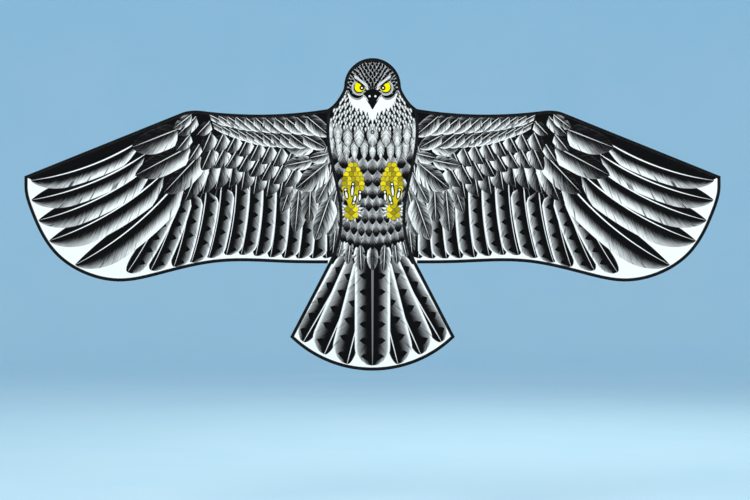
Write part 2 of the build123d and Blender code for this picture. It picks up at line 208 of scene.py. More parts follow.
# ---------------------------------------------------------------- body panel
# One panel of plain-weave polyester, cut as the eagle's head, belly and tail and printed on its front. Each
# feather of the print is a shape with a shaft, and a later shape covers an earlier one. Its tones follow its
# own coordinates: across from its shaft (-1 to 1) and along it (0 at the root, 1 at the tip).
WHITE, BLACK, YELLOW = (0.9, 0.9, 0.9), (0.004, 0.004, 0.0045), (0.93, 0.8, 0.0)
FOOT_YELLOW = np.array([0.86, 0.69, 0.01])
SCALE_LINE = (0.07, 0.045, 0.06)
GOLDEN = 0.618034  # steps by this share of a round never fall on the same place
TONES = ("shaft", "edge", "lead", "rim", "far", "near", "quill", "barbs", "line", "spacing")
STYLES = {
    # shaft, edge, lead: tone beside the shaft, at the wide vane's edge and at the narrow vane's edge
    # rim: change of tone along the outline; far, near: factors on the tone at tip and root; quill: half-width
    # of the pale shaft at the root; barbs: strength of the streaks; line: tone of the shaft; spacing: of bars
    # then how the wide and the narrow vane close at the tip, and how soon both open at the root
    "flight": (-0.45, 1.15, 0.0, 0.0, 0.55, 0.9, 1.9, 0.45, 1.0, 0.0, (0.3, 0.6), (0.42, 0.9), 0.2),
    "barred": (-0.2, 0.74, 0.0, 0.45, 0.85, 0.9, 1.3, 0.2, 0.9, 31.0, (0.16, 0.5), (0.16, 0.5), 0.1),
    "covert": (0.0, 1.05, 0.05, 0.1, 0.1, 1.4, 1.2, 0.45, 0.85, 0.0, (0.5, 0.7), (0.5, 0.7), 0.2),
    "lesser": (0.0, 0.95, 0.35, 0.3, 1.0, 0.9, 0.9, 0.6, 0.9, 0.0, (0.5, 0.7), (0.5, 0.7), 0.2),
    "leaf": (0.1, 1.05, 0.55, 0.1, 0.45, 1.3, 1.1, 0.8, 0.9, 0.0, (0.5, 0.75), (0.5, 0.75), 0.25),
    "breast": (0.95, 0.55, 0.55, -1.2, 0.85, 0.35, 0.0, 0.9, 0.8, 0.0, (0.5, 0.75), (0.5, 0.75), 0.3),
    "belly": (0.45, 0.75, 0.75, 0.15, -0.5, 1.0, 0.0, 0.7, 0.8, 0.0, (0.5, 0.8), (0.5, 0.8), 0.4),
    "streak": (1.0, 0.5, 0.5, -1.0, 1.0, -0.5, 0.0, 0.2, 0.8, 0.0, (0.6, 0.8), (0.6, 0.8), 0.5),
    "crown": (-0.35, 0.6, 0.6, 0.3, 1.1, 0.6, 0.0, 0.3, 0.8, 0.0, (0.45, 0.5), (0.45, 0.5), 0.4),
    "toe": (1.0, 1.0, 1.0, -1.5, 1.0, 1.0, 0.0, 0.1, 0.8, 0.0, (0.55, 0.6), (0.55, 0.6), 0.4),
}


def unit(vector):
    return np.asarray(vector, float) / np.linalg.norm(vector)


def curve(points, start=None, end=None, spacing=4.0):
    """A smooth line through the points, with the end directions if given, as closely spaced points."""
    points = np.array(points, float)
    chords = np.linalg.norm(np.diff(points, axis=0), axis=1)
    rates = np.diff(points, axis=0) / chords[:, None]
    count = len(points)
    system, wanted = np.zeros((count, count)), np.zeros((count, 2))
    for i in range(1, count - 1):
        system[i, i - 1:i + 2] = 1 / chords[i - 1], 2 / chords[i - 1] + 2 / chords[i], 1 / chords[i]
        wanted[i] = 3 * (rates[i - 1] / chords[i - 1] + rates[i] / chords[i])
    for i, beside, given, rate in ((0, 1, start, rates[0]), (-1, -2, end, rates[-1])):
        system[i, i] = 2 if given is None else 1
        system[i, beside] = 1 if given is None else 0
        wanted[i] = 3 * rate if given is None else unit(given)
    slopes = np.linalg.solve(system, wanted)
    line = [points[0]]
    for i, chord in enumerate(chords):
        steps = max(1, round(chord / spacing))
        for t in np.arange(1, steps + 1) / steps:
            line.append((2 * t**3 - 3 * t**2 + 1) * points[i] + (t**3 - 2 * t**2 + t) * chord * slopes[i]
                        + (3 * t**2 - 2 * t**3) * points[i + 1] + (t**3 - t**2) * chord * slopes[i + 1])
    return np.array(line)


def arc(centre, radius, first, last, spacing=4.0):
    """Points on a circle from one angle to another, in degrees."""
    steps = max(2, round(math.radians(abs(last - first)) * radius / spacing))
    turns = np.radians(np.linspace(first, last, steps + 1))
    return np.column_stack([centre[0] + radius * np.cos(turns), centre[1] + radius * np.sin(turns)])


def fullness(along, rise, tip):
    """Relative half-width of a vane, widening from the root and closing over the tip."""
    opening = np.clip(along / rise, 0.0, 1.0) ** 0.6
    beyond = np.clip((along - 1 + tip[0]) / tip[0], 0.0, 1.0)
    return opening * (1 - beyond**2) ** tip[1]


class Shape:
    """One printed shape: its outline, its shaft, its own coordinates and its inks."""

    count = 0

    def __init__(self, outline, shaft, locate, size, tones, light, plain):
        self.outline, self.shaft, self.locate, self.size = np.array(outline), shaft, locate, size
        self.tones, self.light, self.plain = tones, light, plain
        Shape.count += 1
        self.seed = (Shape.count * GOLDEN) % 1.0

    def mirrored(self):
        flip = np.array([-1.0, 1.0])
        shaft = None if self.shaft is None else self.shaft * flip
        return Shape(self.outline[::-1] * flip, shaft, lambda p: self.locate(p * flip), self.size,
                     self.tones, self.light, self.plain)


def feather(root, tip, wide, narrow, kind, bend=0.0, hand=1, **changes):
    """A feather from root to tip. Its wide vane is on the right of that way, or the left if hand is -1."""
    root, tip = np.array(root, float), np.array(tip, float)
    *tones, wide_tip, narrow_tip, rise = STYLES[kind]
    tones = {**dict(zip(TONES, tones)), **changes}
    length = np.linalg.norm(tip - root)
    ahead = (tip - root) / length
    aside = np.array([ahead[1], -ahead[0]]) * hand

    def middle(along):
        return bend * 4 * along * (1 - along) * length

    def widths(along):
        return wide * fullness(along, rise, wide_tip), narrow * fullness(along, rise, narrow_tip)

    def locate(points):
        along = (points - root) @ ahead / length
        across = (points - root) @ aside - middle(along)
        vanes = widths(np.clip(along, 0.02, 0.99))
        return np.column_stack([np.clip(across / np.where(across > 0, *vanes), -1.3, 1.3), along])

    steps = int(np.clip(length / 6, 5, 22))
    along = 1 - (1 - np.linspace(0, 1, steps + 1)) ** 1.6
    vanes = widths(along)
    spine = root + np.outer(along * length, ahead) + np.outer(middle(along), aside)
    outline = np.vstack([spine + np.outer(vanes[0], aside), (spine - np.outer(vanes[1], aside))[-2:0:-1]])
    return Shape(outline[::hand], spine[1:-1], locate, (wide, narrow, length), tones, WHITE, 0.0)


def patch(outline, colour):
    """A shape printed in one plain colour."""
    outline = np.array(outline, float)
    turned = np.roll(outline, -1, axis=0)
    clockwise = np.sum(outline[:, 0] * turned[:, 1] - turned[:, 0] * outline[:, 1]) < 0
    return Shape(outline[::-1] if clockwise else outline, None, lambda p: np.zeros((len(p), 2)),
                 (10.0, 10.0, 10.0), dict(zip(TONES, STYLES["toe"])), colour, 1.0)


def disc(centre, radius, colour):
    """A round patch."""
    return patch(arc(centre, radius, 0, 360, spacing=radius / 3)[:-1], colour)


def follow(places, count):
    """count places spread by number along a smooth line through a few (number, x, z) places."""
    places = np.array(places, float)
    line = curve(places[:, 1:], spacing=1.0)
    measured = np.concatenate([[0], np.cumsum(np.linalg.norm(np.diff(line, axis=0), axis=1))])
    marks = [measured[np.argmin(np.linalg.norm(line - place, axis=1))] for place in places[:, 1:]]
    wanted = np.interp(np.arange(count), places[:, 0], marks)
    return np.column_stack([np.interp(wanted, measured, line[:, i]) for i in (0, 1)])


def row(count, roots, tips, wide, narrow, kind, order=1, **settings):
    """Feathers side by side, whose roots and tips follow smooth lines; order -1 prints the last one first."""
    root_places, tip_places = follow(roots, count), follow(tips, count)
    feathers = []
    for i in range(count)[::order]:
        share = i / (count - 1)
        feathers.append(feather(root_places[i], tip_places[i], wide[0] + (wide[1] - wide[0]) * share,
                                narrow[0] + (narrow[1] - narrow[0]) * share, kind, **settings))
    return feathers


def both_sides(shapes):
    """Each shape followed by its mirror image."""
    return [one for shape in shapes for one in (shape, shape.mirrored())]


CROWN_CENTRE = (0.0, 98.5)
CROWN_RADIUS = 61.0
SHOULDER = (97.0, 49.5)
TAIL_CORNER = (177.5, -441.5)
FAN_RADIUS = 253.53
FAN_CENTRE = (0.0, -514.0 + FAN_RADIUS)
fan_turn = math.degrees(math.asin(TAIL_CORNER[0] / FAN_RADIUS))
crown = arc(CROWN_CENTRE, CROWN_RADIUS, 90, 2)
neck = curve([crown[-1], (67.5, 82.0), SHOULDER], start=(0.035, -1), end=(0.8, -0.45))
body_side = curve([SHOULDER, (99.0, -17.0), (81.9, -105.0), (71.5, -194.0), (83.0, -254.0), (96.0, -284.5)],
                  start=(0.1, -1), end=(0.52, -1))
tail_side = curve([body_side[-1], TAIL_CORNER])
fan = arc(FAN_CENTRE, FAN_RADIUS, -90 + fan_turn, -90)
half_body = np.vstack([crown, neck[1:], body_side[1:], tail_side[1:], fan[1:]])
body_outline = np.vstack([half_body, half_body[-2:0:-1] * (-1, 1)])[::-1]


def tail_print():
    """Seven tail feathers, the middle one on top, and the coverts over their roots."""
    side = [feather((38, -262), (149, -452), 29, 15, "barred", hand=-1, spacing=38.0, quill=2.2),
            feather((8, -262), (104, -479), 40, 13, "barred", hand=-1, spacing=38.0, quill=2.2),
            feather((-6, -262), (55, -500), 40, 13, "barred", hand=-1, spacing=38.0, quill=2.2)]
    middle = feather((0, -262), (0, -503), 38, 38, "barred", spacing=35.0, quill=2.8, line=0.45, lead=0.8)
    coverts = [feather((64, -228), (74, -270), 9, 9, "leaf"),
               feather((47, -232), (53, -285), 13, 8, "leaf", hand=-1),
               feather((27, -240), (24, -301), 14, 9, "leaf", hand=-1)]
    last = feather((0, -245), (0, -298), 12, 12, "leaf", line=0.3)
    return both_sides(side) + [middle] + both_sides(coverts) + [last]


def belly_print():
    """Rows of small feathers from the tail up to the breast, each row over the one below it."""
    shapes = []
    for number, level in enumerate((-253, -227, -200, -172, -146, -119, -93)):
        half = 8.0 if level < -160 else 10.5
        for x in np.arange(number % 2 * half, 78 if level < -130 else 94, 2 * half)[::-1]:
            tip = (x, level + 0.0035 * x * x)
            found = [feather((x * 0.97, tip[1] + 38), tip, half * 1.15, half * 1.15, "belly")]
            shapes += both_sides(found) if x else found
    return shapes


def breast_print():
    """Two rows of large pale feathers under the streaked neck."""
    shapes = []
    for x, z, half in ((87, -45, 8), (71, -55, 9), (55.5, -59, 9), (38.5, -60.5, 9.5), (17.5, -58, 10)):
        shapes += both_sides([feather((x * 1.02, z + 46), (x, z), half, half, "breast")])
    shapes.append(feather((0, -16), (0, -61), 8, 8, "breast"))
    for x, z, half in ((90.5, -19, 9), (74, -28.5, 11.5), (53, -34, 12), (29, -32.5, 13)):
        shapes += both_sides([feather((x * 1.01, z + 50), (x, z), half, half, "breast")])
    shapes.append(feather((0, 18), (0, -33.5), 14.5, 14.5, "breast"))
    return shapes


def neck_print():
    """Narrow pointed feathers that fan out from the cheeks down to the breast."""
    shapes = []
    for number in range(12):
        level = 2.0 + 8.2 * number
        spread = np.interp(level, (0, 49, 70, 95), (94, 84, 72, 60))
        for x in np.arange(number % 2 * 3.9, spread, 7.8)[::-1]:
            lean = 0.55 * (x / 90.0) ** 1.5 * np.interp(level, (0, 90), (0.4, 1.5))
            stir = math.sin(5.1 * x + 3.3 * number) if x else 0.0
            place = (x + 0.9 * stir, level + 0.0012 * x * x + 1.4 * stir)
            found = [feather((place[0] - lean * 13, place[1] + 12.5), place, 3.5, 3.5, "streak")]
            shapes += both_sides(found) if x else found
    return shapes


def crown_print():
    """Rings of small scales round the face, the inner ones over the outer ones."""
    shapes = []
    centre = np.array((0.0, 94.0))
    for number, radius in enumerate((57.0, 50.0, 43.0, 36.0, 29.0, 22.0, 15.0)):
        pitch = math.degrees(9.0 / radius)
        for place in range(round(112 / pitch), -1, -1):
            turn = math.radians(90 - (place + number % 2 * 0.5 + 0.16 * math.sin(7.7 * place)) * pitch)
            ray = np.array([math.cos(turn), math.sin(turn)])
            stir = math.sin(4.3 * place + 2.9 * number)
            half = 4.8 + 0.6 * stir
            inner, outer = centre + ray * (radius - 13), centre + ray * (radius + 1 + stir)
            found = [feather(inner, outer, half, half, "crown")]
            shapes += both_sides(found) if ray[0] > 0.01 else found
    return shapes


def face_print():
    """Cheeks, eyes under pale brows, and the beak."""
    cheek = [(0, 60), (8, 61), (20, 80), (29, 76), (43, 74), (50, 81), (54, 86), (52, 76), (49, 68), (44, 60),
             (42, 49), (38, 56), (34, 43), (29, 53), (25, 40), (20, 49), (15, 36), (11, 44), (6, 24), (3, 34),
             (0, 10)]
    shapes = both_sides([patch(cheek, WHITE)])
    hollow = np.vstack([curve([(24, 84), (31, 78.5), (40, 79), (47.5, 87), (48, 93)]),
                        curve([(52, 88), (48, 77), (38, 70), (28, 69.5), (18, 78)])])
    pouch = np.vstack([curve([(22, 84), (31, 80), (40, 81), (46, 88), (48, 96)]),
                       curve([(51.5, 90), (46.5, 79.5), (38, 74), (28, 73.5), (20, 79.5)])])
    shapes += both_sides([patch(hollow, (0.3, 0.3, 0.3)), patch(pouch, BLACK)])
    eye = (28.7, 95.3)
    for radius, colour in ((17.2, BLACK), (16.4, (0.62, 0.62, 0.64)), (14.4, (0.2, 0.19, 0.24)),
                           (13.4, (0.5, 0.5, 0.54)), (12.0, BLACK)):
        shapes += both_sides([disc(eye, radius, colour)])
    iris = np.vstack([curve([(15.6, 92.3), (20.2, 89), (26.2, 86.7), (31.3, 86.7), (35.9, 89.8), (38.4, 95.3),
                             (37.6, 101.2), (33.6, 108.2)], spacing=2.0),
                      [(31, 105), (28, 104.8), (25.4, 101.5), (20.9, 97.9)]])
    shadow = [(35, 112), (16, 99), (10, 90), (16, 88), (26, 92), (36, 100)]
    shapes += both_sides([patch(shadow, BLACK), patch(iris, YELLOW), disc((22.7, 95.2), 5.4, BLACK),
                          disc((23.0, 95.2), 1.9, WHITE)])
    brow = [(38.6, 122.5), (39.6, 118.6), (36.5, 114.4), (26, 107), (18.5, 99.2), (15, 94), (11.5, 90.6),
            (8.6, 91.6), (10.3, 98), (13, 104.8), (22, 111), (32, 118.6)]
    crease = feather((37.5, 117), (11.5, 95), 1.7, 1.2, "streak", bend=-0.03)
    shapes += both_sides([patch(brow, (0.66, 0.66, 0.68)), patch(crease.outline, BLACK)])
    beak = np.vstack([curve([(0, 93.5), (8, 91), (13.5, 88.3), (20, 83.4)]),
                      curve([(20, 82), (7.8, 61.4), (1.6, 50)]), [(0, 49)]])
    shapes.append(patch(np.vstack([beak, beak[-2:0:-1] * (-1, 1)]), BLACK))
    gape = feather((18.8, 81), (8.6, 66.5), 1.0, 1.0, "streak")
    shapes += both_sides([disc((6.3, 77.3), 2.3, WHITE), patch(gape.outline, (0.75, 0.75, 0.75))])
    return shapes


def scale(bottom, top, half):
    """A yellow scale over a slightly larger dark one, which leaves a thin line round it."""
    beyond = unit(np.subtract(top, bottom)) * 1.2
    rim = feather(bottom, top + beyond, half + 1.1, half + 1.1, "toe")
    shade = 0.68 + 0.32 * math.sin(bottom[0] * 1.7 + bottom[1] * 0.9)
    inner = feather(bottom, top, half, half, "toe")
    return [patch(rim.outline, SCALE_LINE), patch(inner.outline, tuple(FOOT_YELLOW * shade))]


def foot_print():
    """The right foot: a tufted ankle, rows of scales over its sole, and four short claws."""
    shapes = []
    ankle = np.array((46.0, -168.0))
    for number in range(13):
        turn = math.radians(-210 + 20 * number)
        ray = np.array([math.cos(turn), math.sin(turn)])
        tuft = 23 + number % 2 * 5
        shapes.append(feather(ankle + ray * 6, ankle + ray * tuft, 4.5, 4.5, "streak", near=1.0))
    sole = curve([(41, -70), (53, -82), (62, -100), (64, -124), (59, -143), (53, -154), (56, -168),
                  (53, -180), (45, -184), (36, -180), (32, -168), (35, -153), (26, -134), (20, -116),
                  (22, -96), (30, -80), (41, -70)])
    shapes.append(patch(sole[:-1], tuple(FOOT_YELLOW * 0.75)))
    for level, reach, count in ((-70, 4.5, 2), (-80, 9.5, 3), (-90, 14.5, 4), (-100, 18, 5), (-110, 19, 4),
                                (-120, 18.5, 5)):
        for x in 42 + np.linspace(-reach, reach, count):
            shapes += scale((x, level - 8), (x, level + 5), 6.2)
    middle, pair = (45.5,), (37, 54)
    for level, places in ((-190, middle), (-185, pair), (-178, middle), (-172, pair), (-165, middle)):
        for x in places:
            shapes += scale((x, level + 13), (x, level), 7.0)
    for knuckle, point in (((58.4, -124), (54.3, -143)), ((42, -112), (44.4, -138)),
                           ((26.7, -129), (28, -148)), ((40.8, -153), (36.2, -136))):
        away = unit(np.subtract(point, knuckle))
        case = feather(knuckle - away * 5, point + away * 3, 5.2, 5.2, "toe")
        claw = feather(knuckle + away * 3, point, 2.5, 2.5, "toe")
        shapes += [patch(case.outline, BLACK), disc(knuckle, 4.6, BLACK), patch(claw.outline, WHITE),
                   disc(knuckle, 2.3, WHITE)]
    return shapes


above_tail = half_body[:len(half_body) - len(fan) - len(tail_side) + 2]
body_shapes = [patch(np.vstack([above_tail, (above_tail[1:] * (-1, 1))[::-1]]), BLACK)]
body_shapes += tail_print() + belly_print() + both_sides(foot_print()) + breast_print() + neck_print()
body_shapes += crown_print() + face_print()

# The cloth's mesh is split along every printed outline, so each shape has faces of its own.
CLOTH_HALF = 0.15
GRID = 6.0
ROW_SHARE = 0.866  # the step between rows of grid points, as a share of the step along them
MERGE = 0.02  # points nearer to each other than this become one


def inside(points, outline):
    """Which points lie inside a closed outline."""
    after = np.roll(outline, -1, axis=0)
    found = np.zeros(len(points), bool)
    for (x1, z1), (x2, z2) in zip(outline, after):
        crosses = (z1 > points[:, 1]) != (z2 > points[:, 1])
        if crosses.any():
            at = x1 + (points[:, 1] - z1) * (x2 - x1) / ((z2 - z1) or 1e-9)
            found ^= crosses & (points[:, 0] < at)
    return found


def triangulate(outline, shapes, cuts=()):
    """Splits the cloth along every printed outline and returns its points, triangles and topmost shapes."""
    low, high = outline.min(axis=0), outline.max(axis=0)
    rows = np.arange(low[1], high[1], GRID * ROW_SHARE)
    steps = np.arange(low[0], high[0], GRID)
    grid = np.array([(x + (i % 2) * GRID / 2, z) for i, z in enumerate(rows) for x in steps])
    grid = grid[inside(grid, outline)]
    points, edges, faces = [*map(Vector, outline)], [], [list(range(len(outline)))]
    for shape in shapes:
        first = len(points)
        points += map(Vector, shape.outline)
        faces.append(list(range(first, len(points))))
        if shape.shaft is not None:
            first = len(points)
            points += map(Vector, shape.shaft)
            edges += [(i, i + 1) for i in range(first, len(points) - 1)]
    for cut in cuts:
        edges.append((len(points), len(points) + 1))
        points += map(Vector, cut)
    points += map(Vector, grid)
    flat, _, triangles, _, _, sources = geometry.delaunay_2d_cdt(points, edges, faces, 1, MERGE, True)
    kept, tops = [], []
    for triangle, source in zip(triangles, sources):
        if 0 in source and len(triangle) == 3:
            kept.append(triangle)
            tops.append(max(source) - 1)
    return np.array([tuple(p) for p in flat]), np.array(kept), np.array(tops)


def printed_values(flat, triangles, tops, shapes):
    """Each corner's place in its shape, and each triangle's sizes and inks."""
    count = len(triangles)
    corners = np.zeros((count * 3, 2))
    values = {name: np.zeros((count, 4)) for name in ("size", "tone", "ends", "marks")}
    values["light"] = np.array([[*WHITE, 1.0]] * count)
    values["size"][:] = 10.0
    spots = flat[triangles.ravel()]
    for number in np.unique(tops[tops >= 0]):
        shape, mine = shapes[number], tops == number
        tones = shape.tones
        mine_corners = np.repeat(mine, 3)
        corners[mine_corners] = shape.locate(spots[mine_corners])
        wide, narrow, length = shape.size
        values["size"][mine] = (wide, narrow, length, shape.seed)
        values["tone"][mine] = [tones[key] for key in ("shaft", "edge", "lead", "rim")]
        values["ends"][mine] = [tones[key] for key in ("far", "near", "quill", "line")]
        bars = length / tones["spacing"] if tones["spacing"] else 0.0
        values["marks"][mine] = (bars, tones["barbs"], 0.0, 0.0)
        values["light"][mine] = (*shape.light, shape.plain)
    return corners, values


def cloth_object(name, flat, triangles, corners, values, depth, material):
    """A sheet of cloth with both faces and a closed rim."""
    used = np.unique(triangles)
    renumber = np.zeros(len(flat), int)
    renumber[used] = np.arange(len(used))
    flat, triangles, count = flat[used], renumber[triangles], len(used)
    middle = depth(flat)
    front = np.column_stack([flat[:, 0], middle - CLOTH_HALF, flat[:, 1]])
    back = np.column_stack([flat[:, 0], middle + CLOTH_HALF, flat[:, 1]])
    owners = {}
    for turn in range(3):
        sides = triangles[:, (turn, (turn + 1) % 3)].tolist()
        for number, (a, b) in enumerate(sides):
            owners[a, b] = number
    rim = [(a, b, number) for (a, b), number in owners.items() if (b, a) not in owners]
    faces = [tuple(t) for t in triangles.tolist()] + [tuple(t) for t in (triangles[:, ::-1] + count).tolist()]
    faces += [(b, a, a + count, b + count) for a, b, _ in rim]
    mesh = bpy.data.meshes.new(name)
    mesh.from_pydata(np.vstack([front, back]) * MM, [], faces)
    owner = np.array([*range(len(triangles)), *range(len(triangles)), *(number for *_, number in rim)])
    loops = corners.reshape(-1, 3, 2)
    rim_loops = np.repeat(loops[owner[2 * len(triangles):], :1], 4, axis=1)
    uv = np.vstack([loops.reshape(-1, 2), loops[:, ::-1].reshape(-1, 2), rim_loops.reshape(-1, 2)])
    mesh.uv_layers.new(name="feather").data.foreach_set("uv", uv.ravel())
    for key, array in values.items():
        mesh.attributes.new(key, "FLOAT_COLOR", "FACE").data.foreach_set("color", array[owner].ravel())
    reverse = np.concatenate([np.zeros(len(triangles)), np.ones(len(triangles)), np.zeros(len(rim))])
    mesh.attributes.new("reverse", "FLOAT", "FACE").data.foreach_set("value", reverse)
    mesh.shade_smooth()
    mesh.materials.append(material)
    made = bpy.data.objects.new(name, mesh)
    bpy.context.scene.collection.objects.link(made)
    return made


CLOTH_THREAD_M = 0.00045


def printed_cloth_material():
    """Ink on plain-weave polyester: tones from each feather's coordinates, then a weave and slight sheen."""
    nodes = Nodes("printed_cloth", roughness=0.75, specular=0.03)
    across, along, _ = nodes.split(nodes.add("UVMap", uv_map="feather").outputs[0])
    fields = {}
    for name, parts in (("size", "wide narrow length seed"), ("tone", "shaft edge lead rim"),
                        ("ends", "far near quill line"), ("marks", "bars barbs")):
        source = nodes.attribute(name)
        outputs = [*nodes.split(source.outputs["Vector"]), source.outputs["Alpha"]]
        fields.update(zip(parts.split(), outputs))
    out = nodes.math("ABSOLUTE", across)
    on_wide = nodes.math("GREATER_THAN", across, 0.0)
    away = nodes.math("MULTIPLY", out, nodes.mix(on_wide, fields["narrow"], fields["wide"]))
    seed = nodes.math("MULTIPLY", fields["seed"], 537.0)

    # the vane's tone: from the shaft to the edge, then at the tip and the root, then along the outline
    outer = nodes.mix(on_wide, fields["lead"], fields["edge"])
    tone = nodes.mix(nodes.ease(out, 0.0, 1.0), fields["shaft"], outer)
    tone = nodes.math("MULTIPLY", tone, nodes.mix(nodes.ease(along, 0.35, 1.0), 1.0, fields["far"]))
    tone = nodes.math("MULTIPLY", tone, nodes.mix(nodes.ease(along, 0.0, 0.45), fields["near"], 1.0))
    tone = nodes.math("ADD", tone, nodes.math("MULTIPLY", nodes.ease(out, 0.78, 0.98), fields["rim"]))

    # streaks that slant from the shaft towards the tip, as barbs do
    run = nodes.math("MULTIPLY", along, fields["length"])
    slant = nodes.math("SUBTRACT", run, nodes.math("MULTIPLY", away, 1.3))
    barb = nodes.join(nodes.math("MULTIPLY", slant, 0.45), nodes.math("MULTIPLY", away, 0.06), seed)
    streak = nodes.noise(barb, 1.0, detail=3.0, roughness=0.65)
    streak = nodes.math("MULTIPLY", nodes.ease(streak, 0.3, 0.7, -0.5, 0.5), fields["barbs"])
    tone = nodes.math("ADD", tone, nodes.math("MULTIPLY", streak, 0.7))

    # dark nicks in the outer part of the vane
    nick = nodes.noise(nodes.join(nodes.math("MULTIPLY", slant, 0.12), 0.0, seed), 1.0, detail=1.0)
    nick = nodes.math("MULTIPLY", nodes.ease(nick, 0.6, 0.66), nodes.ease(out, 0.6, 0.85))
    ragged = nodes.math("MULTIPLY", nick, fields["barbs"])
    tone = nodes.math("SUBTRACT", tone, nodes.math("MULTIPLY", ragged, 1.2))

    # dark bars across the barred feathers, wide at the shaft and gone before the edge
    shift = nodes.math("ADD", fields["seed"], nodes.math("MULTIPLY", out, 0.1))
    phase = nodes.math("FRACT", nodes.math("ADD", nodes.math("MULTIPLY", along, fields["bars"]), shift))
    off = nodes.math("ABSOLUTE", nodes.math("SUBTRACT", phase, 0.5))
    reach = nodes.ease(out, 0.45, 0.85, 0.16, -0.06)
    bar = nodes.ease(nodes.math("SUBTRACT", off, reach), 0.0, 0.05, 1.0, 0.0)
    bar = nodes.math("MULTIPLY", bar, nodes.math("MINIMUM", fields["bars"], 1.0))
    tone = nodes.math("SUBTRACT", tone, bar)

    # the shaft's own line, narrower towards the tip
    quill = nodes.math("LESS_THAN", away, nodes.math("MULTIPLY", nodes.mix(along, 1.0, 0.4), fields["quill"]))
    tone = nodes.mix(quill, tone, fields["line"])

    # the tone as ink, from black to the shape's light colour, or one plain colour; greyer on the back
    light = nodes.attribute("light")
    ink = nodes.math("POWER", nodes.math("MULTIPLY", tone, 1.0, clamp=True), 2.0)
    drawn = nodes.colours(ink, (*BLACK, 1), light.outputs["Color"])
    colour = nodes.colours(light.outputs["Alpha"], drawn, light.outputs["Color"])
    paler = nodes.colours(0.3, colour, (0.55, 0.55, 0.54, 1))
    colour = nodes.colours(nodes.attribute("reverse").outputs["Fac"], colour, paler)

    # faint clouds in the colour, and the weave
    place = nodes.place()
    cloud = nodes.ease(nodes.noise(place, 14.0), 0.3, 0.8, 0.0, 0.07)
    colour = nodes.colours(cloud, colour, (0.8, 0.8, 0.8, 1), blend="MULTIPLY")
    nodes.feed(nodes.shader.inputs["Base Color"], colour)
    x, _, z = nodes.split(place)
    threads = 2 * math.pi / CLOTH_THREAD_M
    weave = nodes.math("MULTIPLY", nodes.math("SINE", nodes.math("MULTIPLY", x, threads)),
                       nodes.math("SINE", nodes.math("MULTIPLY", z, threads)))
    nodes.bump(weave, 0.12, 0.00015)
    nodes.shader.inputs["Sheen Weight"].default_value = 0.01
    nodes.shader.inputs["Sheen Roughness"].default_value = 0.5
    return nodes.material


printed_cloth = printed_cloth_material()


EDGE_HOLD, EDGE_EASE = 8.0, 26.0


def held_flat(flat, outline):
    """0 up to EDGE_HOLD inside the cloth's edge, rising smoothly to 1 over the next EDGE_EASE."""
    nearest = np.full(len(flat), 1e9)
    for place in outline:
        nearest = np.minimum(nearest, np.hypot(flat[:, 0] - place[0], flat[:, 1] - place[1]))
    share = np.clip((nearest - EDGE_HOLD) / EDGE_EASE, 0.0, 1.0)
    return share * share * (3 - 2 * share)


def body_fullness(flat):
    """Depth of the body's cloth: flat at its edges, nearly so along the spine, a little fuller between."""
    x, z = flat[:, 0], flat[:, 1]
    wave = 0.55 * np.sin(np.abs(x) / 24.0) * np.sin(z / 47.0) + 0.2 * np.sin(x / 9.0 + z / 31.0)
    return wave * held_flat(flat, body_outline)


flat, triangles, tops = triangulate(body_outline, body_shapes)
corners, values = printed_values(flat, triangles, tops, body_shapes)
body_cloth = cloth_object("body_cloth", flat, triangles, corners, values, body_fullness, printed_cloth)
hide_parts("body_sail")
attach(body_cloth, "body")

# ---------------------------------------------------------------- wings
# Each wing is one panel of printed cloth from the body seam to the wing tip. It is made as two pieces,
# which meet on a line a little inside the wrist.
def arc_through(first, middle, last, spacing=4.0):
    """Points on the circle through three places."""
    (ax, az), (bx, bz), (cx, cz) = first, middle, last
    turn = 2 * (ax * (bz - cz) + bx * (cz - az) + cx * (az - bz))
    squares = ax * ax + az * az, bx * bx + bz * bz, cx * cx + cz * cz
    centre = ((squares[0] * (bz - cz) + squares[1] * (cz - az) + squares[2] * (az - bz)) / turn,
              (squares[0] * (cx - bx) + squares[1] * (ax - cx) + squares[2] * (bx - ax)) / turn)
    angles = [math.degrees(math.atan2(z - centre[1], x - centre[0])) for x, z in (first, last)]
    return arc(centre, math.dist(centre, first), *angles, spacing=spacing)


HOLLOW, WRIST_INNER, WRIST_OUTER = (232.0, 38.0), (366.0, 45.5), (412.0, 41.2)
TIP_TOP, TIP_BOTTOM = (750.0, -95.0), (750.0, -116.0)
wing_top = arc_through(SHOULDER, HOLLOW, WRIST_INNER)
wrist = curve([WRIST_INNER, WRIST_OUTER], start=wing_top[-1] - wing_top[-2],
              end=np.subtract(TIP_TOP, WRIST_OUTER))
outer_edge = curve([WRIST_OUTER, TIP_TOP])
trailing = curve([TIP_BOTTOM, (737.0, -170.0), (684.0, -263.0), (620.0, -306.0), (542.0, -322.0),
                  (464.0, -308.5), (335.0, -281.0), (283.0, -278.5), (180.0, -282.0), (96.0, -283.0)],
                 start=(0, -1), end=(-1, 0))
TUCK = 3.5  # how far the wing's cloth reaches under the seam tape
wing_seam = body_side[-2:0:-1] - np.array([TUCK, 0])
wing_outline = np.vstack([wing_top, wrist[1:], outer_edge[1:], trailing, wing_seam])[::-1]


def placed(kind, *places):
    """Single feathers of one kind, each from (root, tip, wide, narrow)."""
    return [feather(*place, kind) for place in places]


